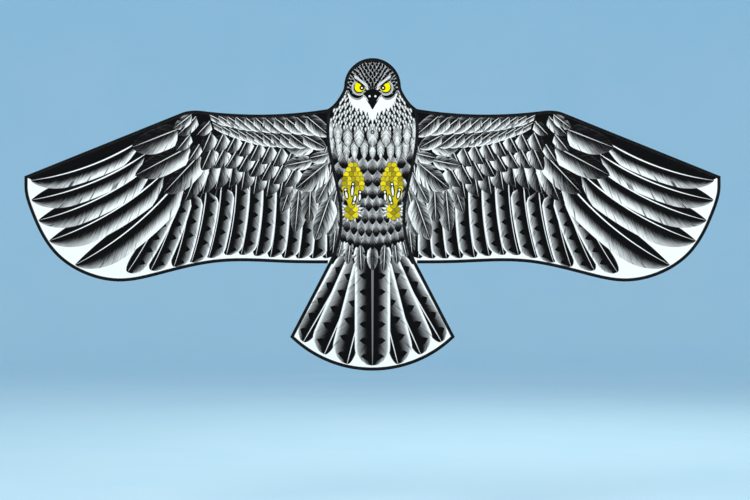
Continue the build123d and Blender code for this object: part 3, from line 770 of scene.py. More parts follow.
def wing_print():
    """Ink shapes of the right wing, from the first printed to the last."""
    inner_end = [(700, -120), (600, -150), (500, -220), (400, -250), (250, -240), (120, -240)]
    ground = np.vstack([wing_top, wrist[1:], outer_edge[1:], inner_end, wing_seam[20:]])
    shapes = [patch(ground, BLACK)]
    shapes += row(13, [(0, 430, -115), (2, 392, -128), (5, 293, -104), (8, 209, -112), (12, 112, -205)],
                  [(0, 528, -302), (2, 428, -290), (5, 315, -265), (8, 220, -270), (12, 99, -272)],
                  (30, 30), (12, 10), "barred", order=-1, bend=0.03)
    shapes += row(5, [(0, 500, -18), (1, 488, -46), (2, 476, -70), (3, 448, -86), (4, 408, -92)],
                  [(0, 736, -104), (1, 735, -146), (2, 720, -190), (3, 697, -234), (4, 641, -286)],
                  (30, 42), (30, 20), "flight", order=-1, bend=0.055)
    shapes += placed("leaf", ((78, -192), (86, -268), 14, 10), ((74, -112), (97, -224), 26, 14),
                     ((88, -52), (96, -142), 20, 14), ((98, -30), (108, -74), 16, 12),
                     ((168, -92), (197, -176), 18, 12), ((158, -122), (167, -218), 22, 14),
                     ((92, -140), (124, -232), 26, 16), ((133, -108), (137, -197), 19, 18),
                     ((86, -86), (121, -154), 18, 14), ((98, -66), (166, -122), 32, 16))
    shapes += row(7, [(0, 345, -50), (2, 300, -60), (4, 247, -78), (6, 190, -84)],
                  [(0, 366, -133), (2, 309, -120), (4, 256, -134), (6, 200, -142)],
                  (24, 24), (12, 12), "covert", order=-1)
    shapes += placed("covert", ((367, -60), (403, -148), 24, 12), ((372, -48), (450, -131), 32, 12),
                     ((393, -30), (511, -93), 32, 20))
    shapes += row(8, [(0, 345, -30), (2, 291, -36), (4, 240, -50), (7, 165, -72)],
                  [(0, 368, -82), (2, 316, -78), (4, 264, -96), (7, 190, -118)],
                  (21, 22), (12, 11), "covert", order=-1)
    shapes += placed("covert", ((419, 6.5), (519, -33), 33, 20), ((373, -26), (396, -62), 14, 8),
                     ((393, -4), (422, -40), 15, 9))
    shapes += row(8, [(0, 348, 0), (2, 294, -6), (4, 243, -20), (7, 172, -38)],
                  [(0, 366, -42), (2, 314, -44), (4, 264, -62), (7, 190, -78)],
                  (20, 20), (11, 11), "covert", order=-1)
    shapes += placed("covert", ((350, 24), (378, -6), 16, 8), ((380, 34), (419, -6), 18, 10))
    shapes += placed("leaf", ((390, 38), (428, 8), 15, 9), ((128, -60), (190, -72), 17, 14),
                     ((94, -46), (138, -56), 18, 8), ((122, -24), (186, -34), 22, 10))
    shapes += row(11, [(0, 345, 20), (3, 290, 4), (6, 236, -4), (9, 178, -4), (10, 150, -6)],
                  [(0, 300, -6), (3, 250, -22), (6, 204, -30), (9, 142, -32), (10, 100, -34)],
                  (9, 17), (8, 13), "lesser", hand=-1)
    shapes += row(11, [(0, 352, 38), (3, 296, 34), (6, 234, 32), (9, 164, 32), (10, 142, 34)],
                  [(0, 306, 14), (3, 256, 4), (6, 196, 0), (9, 120, -4), (10, 92, -8)],
                  (9, 20), (8, 15), "lesser", hand=-1)
    return shapes


wing_hinge = np.array([137.0, 31.2])
wrist_hinge = np.array([418.0, 31.2])
wing_tilt, tip_tilt = math.radians(7.5), math.radians(12.0)
JOIN = 80.0  # from the wrist's hinge line to where the two wing pieces meet
join_at = wrist_hinge - np.array([JOIN / math.cos(tip_tilt), 0])
join_line = [join_at + np.array([math.tan(tip_tilt), 1.0]) * reach for reach in (-420.0, 60.0)]


def billow(flat):
    """Depth of a wing's cloth: flat at its edges, with soft fullness between them."""
    x, z = np.abs(flat[:, 0]), flat[:, 1]
    slow = np.sin(x / 61.0 + z / 143.0) * np.sin(z / 57.0 - x / 210.0)
    wave = 0.6 * slow + 0.25 * np.sin(x / 19.0 + z / 31.0)
    return wave * held_flat(np.column_stack([x, z]), wing_outline)


wing_shapes = wing_print()
flat, triangles, tops = triangulate(wing_outline, wing_shapes, cuts=[join_line])
corners, values = printed_values(flat, triangles, tops, wing_shapes)
centres = flat[triangles].mean(axis=1)
beyond = (centres - join_at) @ np.array([math.cos(tip_tilt), -math.sin(tip_tilt)]) > 0
for side, sign in (("right", 1), ("left", -1)):
    turned = slice(None, None, sign)
    for part, chosen, replaced, bodies, hinge, tilt in (
        ("wing", ~beyond, ("wing_root_sail", "wing_sail"), ("body", f"{side}_wing"), wing_hinge, wing_tilt),
        ("tip", beyond, ("tip_sail",), (f"{side}_wing", f"{side}_tip"), wrist_hinge, tip_tilt),
    ):
        own = triangles[chosen][:, turned]
        loops = corners.reshape(-1, 3, 2)[chosen][:, turned].reshape(-1, 2)
        own_values = {key: array[chosen] for key, array in values.items()}
        piece = cloth_object(f"{side}_{part}_cloth", flat * (sign, 1), own, loops, own_values, billow,
                             printed_cloth)
        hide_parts(*[f"{side}_{node}" for node in replaced])
        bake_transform(piece)

# ---------------------------------------------------------------- edge binding and seam tape
# Black polyester tape, folded over every free edge and over both seams between body and wings, and sewn
# through with one row of stitches near its inner edge.
TAPE_WIDTH = 7.0
STITCH_LINE, STITCH_DEPTH = 5.3, 0.36
TAPE_BACK = [(TAPE_WIDTH, 0.2), (6.7, 0.36), (5.9, 0.4), (STITCH_LINE, 0.3), (4.7, 0.42), (3.0, 0.5),
             (1.2, 0.5), (0.35, 0.42), (0.0, 0.2)]
TAPE_PROFILE = TAPE_BACK + [(reach, -depth) for reach, depth in TAPE_BACK[::-1]]
TAPE_RIB_M, TAPE_WARP_M = 0.0007, 0.0009


def edge_normals(path, hand):
    """Directions across a path, lengthened at corners so that a strip keeps its width."""
    sides = np.diff(path, axis=0)
    sides = sides / np.linalg.norm(sides, axis=1)[:, None]
    before, after = np.vstack([sides[:1], sides]), np.vstack([sides, sides[-1:]])
    middle = before + after
    middle = middle / np.linalg.norm(middle, axis=1)[:, None]
    stretch = 1 / np.clip((middle * after).sum(axis=1), 0.4, 1.0)
    return np.column_stack([middle[:, 1], -middle[:, 0]]) * stretch[:, None] * hand


def plain_mesh(name, points, faces, material, uv=None):
    """A mesh object from points in millimetres, with outward faces."""
    mesh = bpy.data.meshes.new(name)
    mesh.from_pydata(np.asarray(points, float) * MM, [], faces)
    if uv is not None:
        layer = mesh.uv_layers.new(name="along")
        indices = np.array([loop.vertex_index for loop in mesh.loops])
        layer.data.foreach_set("uv", (np.asarray(uv, float)[indices] * MM).ravel())
    work = bmesh.new()
    work.from_mesh(mesh)
    bmesh.ops.recalc_face_normals(work, faces=work.faces)
    work.to_mesh(mesh)
    work.free()
    mesh.shade_smooth()
    mesh.materials.append(material)
    made = bpy.data.objects.new(name, mesh)
    bpy.context.scene.collection.objects.link(made)
    return made


def lofted(rings, closed_ends=True):
    """Faces between rings of equal point counts, each ring closed on itself."""
    size, faces = len(rings[0]), []
    for i in range(len(rings) - 1):
        for j in range(size):
            k = (j + 1) % size
            faces.append((i * size + j, i * size + k, (i + 1) * size + k, (i + 1) * size + j))
    if closed_ends:
        last = (len(rings) - 1) * size
        faces += [tuple(range(size))[::-1], tuple(range(last, last + size))]
    return np.vstack(rings), faces


def tape_parts(path, hand):
    """Points, faces and tape coordinates of one length of folded tape along an edge."""
    normals = edge_normals(path, hand)
    lengths = np.concatenate([[0], np.cumsum(np.linalg.norm(np.diff(path, axis=0), axis=1))])
    rings, uv = [], []
    for place, normal, along in zip(path, normals, lengths):
        pucker = 1 + 0.1 * math.sin(along * 0.9) + 0.06 * math.sin(along * 0.37)
        ring = []
        for reach, depth in TAPE_PROFILE:
            ring.append((place[0] + normal[0] * reach, depth * pucker, place[1] + normal[1] * reach))
        rings.append(ring)
        uv += [(along, number * 1.2) for number in range(len(TAPE_PROFILE))]
    points, faces = lofted(rings)
    return points, faces, uv


def joined(parts):
    """Several lots of (points, faces, uv) as one."""
    points, faces, uv, first = [], [], [], 0
    for some_points, some_faces, some_uv in parts:
        points.append(some_points)
        faces += [tuple(first + i for i in face) for face in some_faces]
        uv += list(some_uv)
        first += len(some_points)
    return np.vstack(points), faces, uv


def tape_material():
    """Black woven tape: fine cross ribs, a soft sheen and slightly greyer worn folds."""
    nodes = Nodes("black_tape", roughness=0.8, specular=0.08)
    along, across, _ = nodes.split(nodes.add("UVMap", uv_map="along").outputs[0])
    rib = nodes.math("SINE", nodes.math("MULTIPLY", along, 2 * math.pi / TAPE_RIB_M))
    warp = nodes.math("SINE", nodes.math("MULTIPLY", across, 2 * math.pi / TAPE_WARP_M))
    wear = nodes.ease(nodes.noise(nodes.place(), 90.0, detail=4.0), 0.45, 0.8)
    colour = nodes.colours(wear, (0.006, 0.006, 0.007, 1), (0.016, 0.016, 0.018, 1))
    nodes.feed(nodes.shader.inputs["Base Color"], colour)
    nodes.bump(nodes.math("ADD", rib, nodes.math("MULTIPLY", warp, 0.4)), 0.35, 0.0001)
    return nodes.material


black_tape = tape_material()


def tape(name, runs, replaced):
    """One piece of tape work, from (path, hand) runs."""
    points, faces, uv = joined([tape_parts(path, hand) for path, hand in runs])
    made = plain_mesh(name, points, faces, black_tape, uv)
    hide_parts(*replaced)
    return made


def crossing(path, at, normal):
    """The path in two parts, cut where it crosses a line."""
    sides = (path - at) @ normal
    i = int(np.nonzero(np.diff(np.sign(sides)))[0][0])
    share = sides[i] / (sides[i] - sides[i + 1])
    cut = path[i] + share * (path[i + 1] - path[i])
    return np.vstack([path[:i + 1], cut]), np.vstack([cut, path[i + 1:]])


flip = np.array([-1.0, 1.0])
head_path = np.vstack([(neck[1:] * flip)[::-1], (crown[1:] * flip)[::-1], crown, neck[1:]])
seam_path = np.vstack([body_side, tail_side[1:]])
fan_path = np.vstack([fan, (fan[:-1] * flip)[::-1]])
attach(tape("head_tape", [(head_path, 1)], ["head_binding"]), "body")
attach(tape("tail_tape", [(fan_path, 1)], ["tail_binding"]), "body")
join_normal = np.array([math.cos(tip_tilt), -math.sin(tip_tilt)])
top_inner, top_outer = crossing(np.vstack([wing_top, wrist[1:], outer_edge[1:]]), join_at, join_normal)
back_outer, back_inner = crossing(trailing, join_at, join_normal)
tip_path = np.vstack([top_outer, back_outer])
sewn = {body: [] for body in ("body", "right_wing", "left_wing", "right_tip", "left_tip")}


def sew_tape(body, path, hand):
    """Notes where a tape's stitches lie: in the groove near its inner edge, on its front and its back."""
    line = path + edge_normals(path, hand) * STITCH_LINE
    for depth in (-STITCH_DEPTH, STITCH_DEPTH):
        sewn[body].append(np.column_stack([line[:, 0], np.full(len(line), depth), line[:, 1]]))


sew_tape("body", head_path, 1)
sew_tape("body", fan_path, 1)
for side, sign in (("right", 1), ("left", -1)):
    turn = np.array([sign, 1.0])
    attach(tape(f"{side}_seam_cover", [(seam_path * turn, sign)], [f"{side}_seam_tape"]), "body")
    wing_runs = [(top_inner * turn, sign), (back_inner * turn, sign)]
    wing_tape = tape(f"{side}_wing_tape", wing_runs, [f"{side}_wing_root_binding", f"{side}_wing_binding"])
    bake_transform(wing_tape)
    tip_tape = tape(f"{side}_tip_tape", [(tip_path * turn, sign)], [f"{side}_tip_binding"])
    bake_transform(tip_tape)
    sew_tape("body", seam_path * turn, sign)
    for path, hand in wing_runs:
        sew_tape(f"{side}_wing", path, hand)
    sew_tape(f"{side}_tip", tip_path * turn, sign)

# ---------------------------------------------------------------- tunnels and pockets for the rods
# Strips of black ripstop over each rod, sewn to the back of the sail along both edges: open sleeves along the
# wings and closed pockets at the rods' ends. Short loops of white tape hold the spine in the same way.
TUNNEL_WALL = 0.35
FLANGE = 4.0
FLANGE_BASE = 0.55  # depth of the back of the sail and its tape
LOOP_BASE = 0.35
BAR_Z, BAR_DEPTH, BAR_RADIUS = 31.2, 3.8, 2.0
SPINE_DEPTH, SPINE_RADIUS = 9.0, 2.0
SPAR_RADIUS, CAP_WALL = 1.5, 0.9
TAIL_SPAR_DEPTH = 4.8
HEAVY_THREAD_M, FINE_THREAD_M = 0.004, 0.0005


def tunnel(name, material, runs, base=FLANGE_BASE):
    """Cloth tunnels behind the sail, from (start, end, depth of the rod, inner radius, closed) runs."""
    parts = []
    for start, end, depth, inner, closed in runs:
        start, end = np.array(start, float), np.array(end, float)
        length = np.linalg.norm(end - start)
        ahead = (end - start) / length
        aside = np.array([ahead[1], -ahead[0]])
        count = max(4, round(length / 3.0))
        rings, uv = [], []
        for number in range(count + 1):
            along = length * number / count
            ease = 0.12 * math.sin(along * 0.55) + 0.08 * math.sin(along * 1.7 + 1)
            loops = []
            for wall in (TUNNEL_WALL, 0.0):
                radius = inner + wall + (0.1 + 0.1 * ease)
                line = [(-(radius + FLANGE), base + wall),
                        (-(radius + FLANGE * 0.5), base + wall * 0.8 + 0.05),
                        (-(radius + 0.5), base + wall)]
                for turn in np.radians(np.linspace(180, 0, 13)):
                    line.append((radius * math.cos(turn), depth + ease * 0.5 + radius * math.sin(turn)))
                line += [(-u, d) for u, d in line[2::-1]]
                loops.append(line)
            ring = loops[0] + loops[1][::-1]
            place = start + ahead * along
            rings.append([(place[0] + aside[0] * u, d, place[1] + aside[1] * u) for u, d in ring])
            uv += [(along, u) for u, _ in ring]
        points, faces = lofted(rings)
        if closed:
            half = len(rings[0]) // 2
            last = (len(rings) - 1) * 2 * half
            faces = faces + [tuple(range(last + 2, last + half - 2))]
        parts.append((points, faces, uv))
    points, faces, uv = joined(parts)
    return plain_mesh(name, points, faces, material, uv)


def sew_tunnel(body, run, base=FLANGE_BASE):
    """Notes where a tunnel's two rows of stitches lie, along the middle of its flanges."""
    start, end, _, inner, _ = run
    start, end = np.array(start, float), np.array(end, float)
    ahead = unit(end - start)
    aside = np.array([ahead[1], -ahead[0]]) * (inner + TUNNEL_WALL + FLANGE * 0.5 + 0.1)
    level = base + TUNNEL_WALL + 0.05
    for way in (-1, 1):
        first, last = start + aside * way + ahead, end + aside * way - ahead
        sewn[body].append(np.array([(first[0], level, first[1]), (last[0], level, last[1])]))


def ripstop_material(name, dark, light):
    """Coated ripstop cloth: a fine weave with heavier threads every few millimetres."""
    nodes = Nodes(name, roughness=0.6, specular=0.3)
    along, across, _ = nodes.split(nodes.add("UVMap", uv_map="along").outputs[0])
    heavy = []
    for value in (along, across):
        wave = nodes.math("SINE", nodes.math("MULTIPLY", value, 2 * math.pi / HEAVY_THREAD_M))
        heavy.append(nodes.ease(wave, 0.93, 0.99))
    grid = nodes.math("MAXIMUM", *heavy)
    threads = 2 * math.pi / FINE_THREAD_M
    fine = nodes.math("MULTIPLY", nodes.math("SINE", nodes.math("MULTIPLY", along, threads)),
                      nodes.math("SINE", nodes.math("MULTIPLY", across, threads)))
    fade = nodes.ease(nodes.noise(nodes.place(), 60.0, detail=3.0), 0.3, 0.75)
    colour = nodes.colours(nodes.math("MAXIMUM", grid, fade), dark, light)
    nodes.feed(nodes.shader.inputs["Base Color"], colour)
    nodes.bump(nodes.math("ADD", grid, nodes.math("MULTIPLY", fine, 0.3)), 0.3, 0.00012)
    return nodes.material


patch_cloth = ripstop_material("patch_cloth", (0.012, 0.012, 0.014, 1), (0.022, 0.022, 0.026, 1))
white_tape = ripstop_material("white_tape", (0.6, 0.6, 0.58, 1), (0.75, 0.75, 0.73, 1))


def finish(piece, slot, *replaced):
    """Hides the nodes that a piece stands for and returns the piece; slot is not used."""
    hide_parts(*replaced)
    return piece


outer_way = unit(np.subtract(TIP_TOP, WRIST_OUTER))
tail_way = unit((TAIL_CORNER[0] - body_side[-1][0], TAIL_CORNER[1] - body_side[-1][1]))
TAIL_APEX = np.array([0.0, -128.0])
TAIL_SPAR_LOW = -425.0
tail_spar_end = TAIL_APEX + tail_way * (TAIL_APEX[1] - TAIL_SPAR_LOW) / -tail_way[1]
POCKET_BEYOND = 2.8  # a pocket's end past the rod's end
SPINE_TOP, SPINE_LOW = 146.0, -500.0
LOOP_LEVELS, LOOP_HALF = (88.0, -50.0, -205.0, -395.0), 7.0
CORNER_POCKET = 24.0
BAR_SLEEVE = (152.0, 384.0)
SPAR_SLEEVE, TIP_POCKET = (44.0, 305.5), (306.0, 338.0 + POCKET_BEYOND)  # along the spar from the wrist
pockets = {
    "head": ((0, SPINE_TOP - 32), (0, SPINE_TOP + POCKET_BEYOND), SPINE_DEPTH, SPINE_RADIUS + CAP_WALL, True),
    "tail": ((0, SPINE_LOW + 30), (0, SPINE_LOW - POCKET_BEYOND), SPINE_DEPTH, SPINE_RADIUS + CAP_WALL, True),
}
for end, run in pockets.items():
    made = tunnel(f"spine_{end}_pocket", patch_cloth, [run])
    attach(finish(made, "patch_cloth", f"{end}_pocket"), "body")
    sew_tunnel("body", run)
loops = [((0, z - LOOP_HALF), (0, z + LOOP_HALF), SPINE_DEPTH, SPINE_RADIUS, False) for z in LOOP_LEVELS]
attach(finish(tunnel("spine_tapes", white_tape, loops, base=LOOP_BASE), "white_tape", "spine_loops"), "body")
for run in loops:
    sew_tunnel("body", run, base=LOOP_BASE)
for side, sign in (("right", 1), ("left", -1)):
    turn = np.array([sign, 1.0])
    corner = (tail_spar_end - tail_way * CORNER_POCKET, tail_spar_end + tail_way * POCKET_BEYOND)
    run = (corner[0] * turn, corner[1] * turn, TAIL_SPAR_DEPTH, SPAR_RADIUS + CAP_WALL, True)
    sew_tunnel("body", run)
    pocket = tunnel(f"{side}_corner_pocket", patch_cloth, [run])
    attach(finish(pocket, "patch_cloth", f"{side}_tail_corner_pocket"), "body")
    run = ((BAR_SLEEVE[0] * sign, BAR_Z), (BAR_SLEEVE[1] * sign, BAR_Z), BAR_DEPTH, BAR_RADIUS, False)
    channel = finish(tunnel(f"{side}_bar_sleeve", patch_cloth, [run]), "patch_cloth", f"{side}_bar_channel")
    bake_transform(channel)
    sew_tunnel(f"{side}_wing", run)
    for made_name, node, reaches, radius, closed in (
        ("spar_sleeve", "outer_sleeve", SPAR_SLEEVE, SPAR_RADIUS, False),
        ("tip_end_pocket", "tip_pocket", TIP_POCKET, SPAR_RADIUS + CAP_WALL, True),
    ):
        start, end = [(wrist_hinge + outer_way * reach) * turn for reach in reaches]
        run = (start, end, BAR_DEPTH, radius, closed)
        made = tunnel(f"{side}_{made_name}", patch_cloth, [run])
        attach(finish(made, "patch_cloth", f"{side}_{node}"), f"{side}_tip")
        sew_tunnel(f"{side}_tip", run)

# ---------------------------------------------------------------- rods, elbows and caps
# Pultruded glass-fibre rods, cut to length and satin black. The cross bar is in two halves, and a ribbed
# elbow of soft vinyl joins each half to the thinner spar of the wing tip.
BAR_FACET = 18  # degrees between the corners of a bar's section


def swept(name, path, radii, material):
    """A round bar along a path of 3-D points, with a radius at each."""
    path = np.array(path, float)
    ahead = np.gradient(path, axis=0)
    ahead = ahead / np.linalg.norm(ahead, axis=1)[:, None]
    rings, uv = [], []
    up = np.array([0.0, 1.0, 0.0])
    lengths = np.concatenate([[0], np.cumsum(np.linalg.norm(np.diff(path, axis=0), axis=1))])
    for place, way, radius, along in zip(path, ahead, radii, lengths):
        aside = unit(np.cross(way, up))
        over = np.cross(aside, way)
        turns = np.radians(np.arange(0, 360, BAR_FACET))
        rings.append(place + radius * (np.outer(np.cos(turns), aside) + np.outer(np.sin(turns), over)))
        uv += [(along, turn * radius) for turn in turns]
    points, faces = lofted(rings)
    return plain_mesh(name, points, faces, material, uv)


def glass_fibre_material():
    """Black pultruded rod: satin, with fibres along its length and slightly paler, olive streaks."""
    nodes = Nodes("glass_fibre", roughness=0.35)
    x, y, z = nodes.split(nodes.place())
    drawn_out = [nodes.math("MULTIPLY", part, scale) for part, scale in ((x, 90.0), (y, 2400.0), (z, 90.0))]
    grain = nodes.noise(nodes.join(*drawn_out), 1.0, detail=4.0)
    streaks = nodes.ease(grain, 0.35, 0.7)
    colour = nodes.colours(streaks, (0.012, 0.012, 0.012, 1), (0.035, 0.034, 0.03, 1))
    nodes.feed(nodes.shader.inputs["Base Color"], colour)
    nodes.feed(nodes.shader.inputs["Roughness"], nodes.mix(streaks, 0.28, 0.5))
    nodes.bump(streaks, 0.15, 0.0001)
    return nodes.material


def speckled_material(name, dark, light, roughness, scale, strength, metallic=0.0):
    """A moulded or metal surface with mottled colour and a fine grain."""
    nodes = Nodes(name, roughness=roughness)
    mottle = nodes.noise(nodes.place(), scale, detail=5.0)
    spread = nodes.ease(mottle, 0.35, 0.7)
    nodes.feed(nodes.shader.inputs["Base Color"], nodes.colours(spread, dark, light))
    nodes.feed(nodes.shader.inputs["Roughness"], nodes.mix(spread, roughness - 0.08, roughness + 0.1))
    nodes.shader.inputs["Metallic"].default_value = metallic
    nodes.bump(nodes.noise(nodes.place(), scale * 12, detail=2.0), strength, 0.0001)
    return nodes.material


glass_fibre = glass_fibre_material()
soft_vinyl = speckled_material("soft_vinyl", (0.012, 0.012, 0.013, 1), (0.03, 0.03, 0.032, 1),
                               roughness=0.55, scale=220.0, strength=0.25)
moulded_plastic = speckled_material("moulded_plastic", (0.015, 0.015, 0.017, 1), (0.03, 0.03, 0.034, 1),
                                    roughness=0.4, scale=160.0, strength=0.2)
ferrule_metal = speckled_material("ferrule_metal", (0.62, 0.6, 0.56, 1), (0.78, 0.76, 0.72, 1),
                                  roughness=0.32, scale=300.0, strength=0.15, metallic=1.0)
eyelet_metal = speckled_material("eyelet_metal", (0.02, 0.02, 0.022, 1), (0.06, 0.06, 0.065, 1),
                                 roughness=0.35, scale=400.0, strength=0.2, metallic=0.8)
WRIST_3D = np.array([wrist_hinge[0], BAR_DEPTH, BAR_Z])
OUTER_3D = np.array([outer_way[0], 0.0, outer_way[1]])
BAR_START, BAR_END, BAR_CHAMFER = 1.0, 404.0, 0.4
INNER_LEG = (28.0, 27.6, 26.0, 22.0, 18.0, 14.0, 10.0, 7.0, 4.0, 2.0)  # from the elbow's corner along the bar
OUTER_LEG = (1.0, 3.0, 6.0, 9.0, 12.0, 15.0, 18.0, 22.0, 26.0, 27.6, 28.0)  # and along the spar
ELBOW_RADII = [2.45, 2.7, 2.72, 2.6, 2.72, 2.6, 2.72, 2.72, 2.68, 2.66,
               2.66, 2.68, 2.72, 2.6, 2.72, 2.6, 2.72, 2.6, 2.72, 2.7, 2.45]
for side, sign in (("right", 1), ("left", -1)):
    turn = np.array([sign, 1.0, 1.0])
    places = np.concatenate([[BAR_START, BAR_START + BAR_CHAMFER], np.arange(4.0, 402.0, 4.0),
                             [BAR_END - BAR_CHAMFER, BAR_END]])
    radii = np.full(len(places), BAR_RADIUS)
    radii[[0, -1]] -= 0.3
    bar = swept(f"{side}_cross_bar", [(x * sign, BAR_DEPTH, BAR_Z) for x in places], radii, glass_fibre)
    finish(bar, "glass_fibre", f"{side}_half_bar")
    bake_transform(bar)
    legs = [WRIST_3D - (reach, 0, 0) for reach in INNER_LEG]
    legs += [WRIST_3D + OUTER_3D * reach for reach in OUTER_LEG]
    elbow = swept(f"{side}_vinyl_elbow", np.array(legs) * turn, ELBOW_RADII, soft_vinyl)
    finish(elbow, "soft_vinyl", f"{side}_wrist_elbow")
    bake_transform(elbow)

# Straight rods, caps, rings, fittings and eyelets keep their own shape and take a finish.
finishes = {glass_fibre: ["spine_rod"], soft_vinyl: ["spine_caps", "stopper_rings"],
            moulded_plastic: ["tail_fitting", "cross_fitting"], ferrule_metal: ["centre_ferrule"],
            eyelet_metal: ["upper_bridle_eyelet", "lower_bridle_eyelet"]}
for side in ("right", "left"):
    finishes[glass_fibre] += [f"{side}_outer_spar", f"{side}_tail_spar"]
    finishes[soft_vinyl] += [f"{side}_tip_cap", f"{side}_tail_cap"]
for material, nodes_named in finishes.items():
    for node in nodes_named:
        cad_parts[node].data.materials[0] = material

# ---------------------------------------------------------------- bridle patches
# Two squares of black cloth, set point-up behind the eyelets to spread the pull of the bridle. Each has a
# round hole for its eyelet, is a little thinner at its edge, and is sewn down by a square of stitches.
PATCH_REACH, EYELET_HOLE, PATCH_SEW = 18.4, 2.55, 15.0
PATCH_FRONT, PATCH_SEW_DEPTH = 0.33, 0.83
PATCH_LEVELS = (0.0, -265.0)
PATCH_STEPS = 32
rings = [(EYELET_HOLE, 0.83), (6.0, 0.85), (12.0, 0.85), (PATCH_REACH, 0.7)]  # (reach, depth of the back)
parts = []
for centre_z in PATCH_LEVELS:
    loops = []
    for reach, depth in rings + [(reach, PATCH_FRONT) for reach, _ in rings[::-1]]:
        loop = []
        for number in range(PATCH_STEPS):
            turn = math.radians(number * 360 / PATCH_STEPS)
            square = 1 / (abs(math.cos(turn)) + abs(math.sin(turn)))
            radius = reach if reach == EYELET_HOLE else reach * square
            loop.append((radius * math.cos(turn), depth, centre_z + radius * math.sin(turn)))
        loops.append(loop)
    loops.append(loops[0])
    points, faces = lofted(loops, closed_ends=False)
    parts.append((points, faces, [(p[0], p[2]) for p in points]))
    corners_3d = [(0, PATCH_SEW), (PATCH_SEW, 0), (0, -PATCH_SEW), (-PATCH_SEW, 0), (0, PATCH_SEW)]
    sewn["body"].append(np.array([(x, PATCH_SEW_DEPTH, centre_z + z) for x, z in corners_3d]))
points, faces, uv = joined(parts)
patches = plain_mesh("bridle_patch_cloth", points, faces, patch_cloth, uv)
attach(finish(patches, "patch_cloth", "bridle_patches"), "body")

# ---------------------------------------------------------------- stitches
# Black polyester thread, lock-stitched through every tape, along both edges of each tunnel, loop and pocket,
# and round each patch. Each stitch is a short bead of thread, half sunk in the cloth.
STITCH_PITCH, STITCH_LENGTH, THREAD_RADIUS = 3.0, 2.4, 0.2
BEAD_SEGMENTS, BEAD_RINGS = 6, 5
HALF_LENGTHS = (0.45, 0.52)  # the least and most of half a stitch, as a share of STITCH_LENGTH


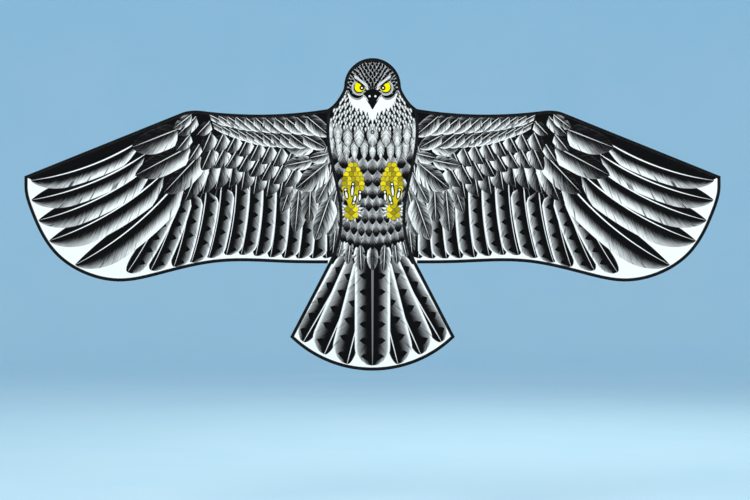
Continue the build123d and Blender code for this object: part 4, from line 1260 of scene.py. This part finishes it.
def stitch_tree():
    """Geometry nodes that lay a stitch at even steps along each edge path."""
    tree = bpy.data.node_groups.new("row_of_stitches", "GeometryNodeTree")
    tree.interface.new_socket("Geometry", in_out="INPUT", socket_type="NodeSocketGeometry")
    for name in ("Pitch", "Stitch Length", "Thread Radius"):
        tree.interface.new_socket(name, in_out="INPUT", socket_type="NodeSocketFloat")
    tree.interface.new_socket("Seed", in_out="INPUT", socket_type="NodeSocketInt")
    tree.interface.new_socket("Thread", in_out="INPUT", socket_type="NodeSocketMaterial")
    tree.interface.new_socket("Geometry", in_out="OUTPUT", socket_type="NodeSocketGeometry")

    def add(kind, **settings):
        node = tree.nodes.new(kind)
        for key, value in settings.items():
            setattr(node, key, value)
        return node

    link = tree.links.new
    given, result = add("NodeGroupInput"), add("NodeGroupOutput")
    path, steps = add("GeometryNodeMeshToCurve"), add("GeometryNodeResampleCurve", mode="LENGTH")
    link(given.outputs["Geometry"], path.inputs["Mesh"])
    link(path.outputs["Curve"], steps.inputs["Curve"])
    link(given.outputs["Pitch"], steps.inputs["Length"])
    bead = add("GeometryNodeMeshUVSphere")
    bead.inputs["Segments"].default_value = BEAD_SEGMENTS
    bead.inputs["Rings"].default_value = BEAD_RINGS
    link(given.outputs["Thread Radius"], bead.inputs["Radius"])
    halved = add("ShaderNodeMath", operation="DIVIDE")
    link(given.outputs["Stitch Length"], halved.inputs[0])
    link(given.outputs["Thread Radius"], halved.inputs[1])
    varied = add("FunctionNodeRandomValue", data_type="FLOAT")
    varied.inputs[2].default_value, varied.inputs[3].default_value = HALF_LENGTHS
    link(given.outputs["Seed"], varied.inputs["Seed"])
    longer = add("ShaderNodeMath", operation="MULTIPLY")
    link(halved.outputs[0], longer.inputs[0])
    link(varied.outputs[1], longer.inputs[1])
    size = add("ShaderNodeCombineXYZ")
    size.inputs[0].default_value = size.inputs[1].default_value = 1.0
    link(longer.outputs[0], size.inputs[2])
    tangent, turn = add("GeometryNodeInputTangent"), add("FunctionNodeAlignRotationToVector", axis="Z")
    link(tangent.outputs[0], turn.inputs["Vector"])
    laid = add("GeometryNodeInstanceOnPoints")
    link(steps.outputs["Curve"], laid.inputs["Points"])
    link(bead.outputs["Mesh"], laid.inputs["Instance"])
    link(turn.outputs["Rotation"], laid.inputs["Rotation"])
    link(size.outputs[0], laid.inputs["Scale"])
    real, dyed = add("GeometryNodeRealizeInstances"), add("GeometryNodeSetMaterial")
    link(laid.outputs["Instances"], real.inputs["Geometry"])
    link(real.outputs["Geometry"], dyed.inputs["Geometry"])
    link(given.outputs["Thread"], dyed.inputs["Material"])
    link(dyed.outputs["Geometry"], result.inputs["Geometry"])
    return tree


def thread_material():
    """Black thread with a slight sheen, mottled and roughened by its twist."""
    nodes = Nodes("sewing_thread", roughness=0.6, specular=0.3)
    twist = nodes.noise(nodes.place(), 1800.0, detail=2.0)
    nodes.feed(nodes.shader.inputs["Base Color"],
               nodes.colours(nodes.ease(twist, 0.35, 0.65), (0.006, 0.006, 0.007, 1), (0.03, 0.03, 0.032, 1)))
    nodes.shader.inputs["Sheen Weight"].default_value = 0.1
    nodes.bump(twist, 0.4, 0.0001)
    return nodes.material


def stitches(body, tree, thread):
    """All stitches that lie on one body, as one plain mesh."""
    points, edges = [], []
    for line in sewn[body]:
        first = len(points)
        points += [tuple(point) for point in line * MM]
        edges += [(i, i + 1) for i in range(first, len(points) - 1)]
    guide = bpy.data.meshes.new("stitch_guide")
    guide.from_pydata(points, edges, [])
    holder = bpy.data.objects.new("stitch_guide", guide)
    bpy.context.scene.collection.objects.link(holder)
    rows = holder.modifiers.new("rows", "NODES")
    rows.node_group = tree
    given = {"Pitch": STITCH_PITCH * MM, "Stitch Length": STITCH_LENGTH * MM,
             "Thread Radius": THREAD_RADIUS * MM, "Seed": len(points), "Thread": thread}
    for socket in tree.interface.items_tree:
        if socket.name in given:
            rows[socket.identifier] = given[socket.name]
    seen = bpy.context.evaluated_depsgraph_get()
    mesh = bpy.data.meshes.new_from_object(holder.evaluated_get(seen), depsgraph=seen)
    bpy.data.objects.remove(holder)
    mesh.name = f"{body}_stitches"
    mesh.shade_smooth()
    made = bpy.data.objects.new(f"{body}_stitches", mesh)
    bpy.context.scene.collection.objects.link(made)
    return made


tree, thread = stitch_tree(), thread_material()
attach(stitches("body", tree, thread), "body")
for side, sign in (("right", 1), ("left", -1)):
    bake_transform(stitches(f"{side}_wing", tree, thread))
    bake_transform(stitches(f"{side}_tip", tree, thread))
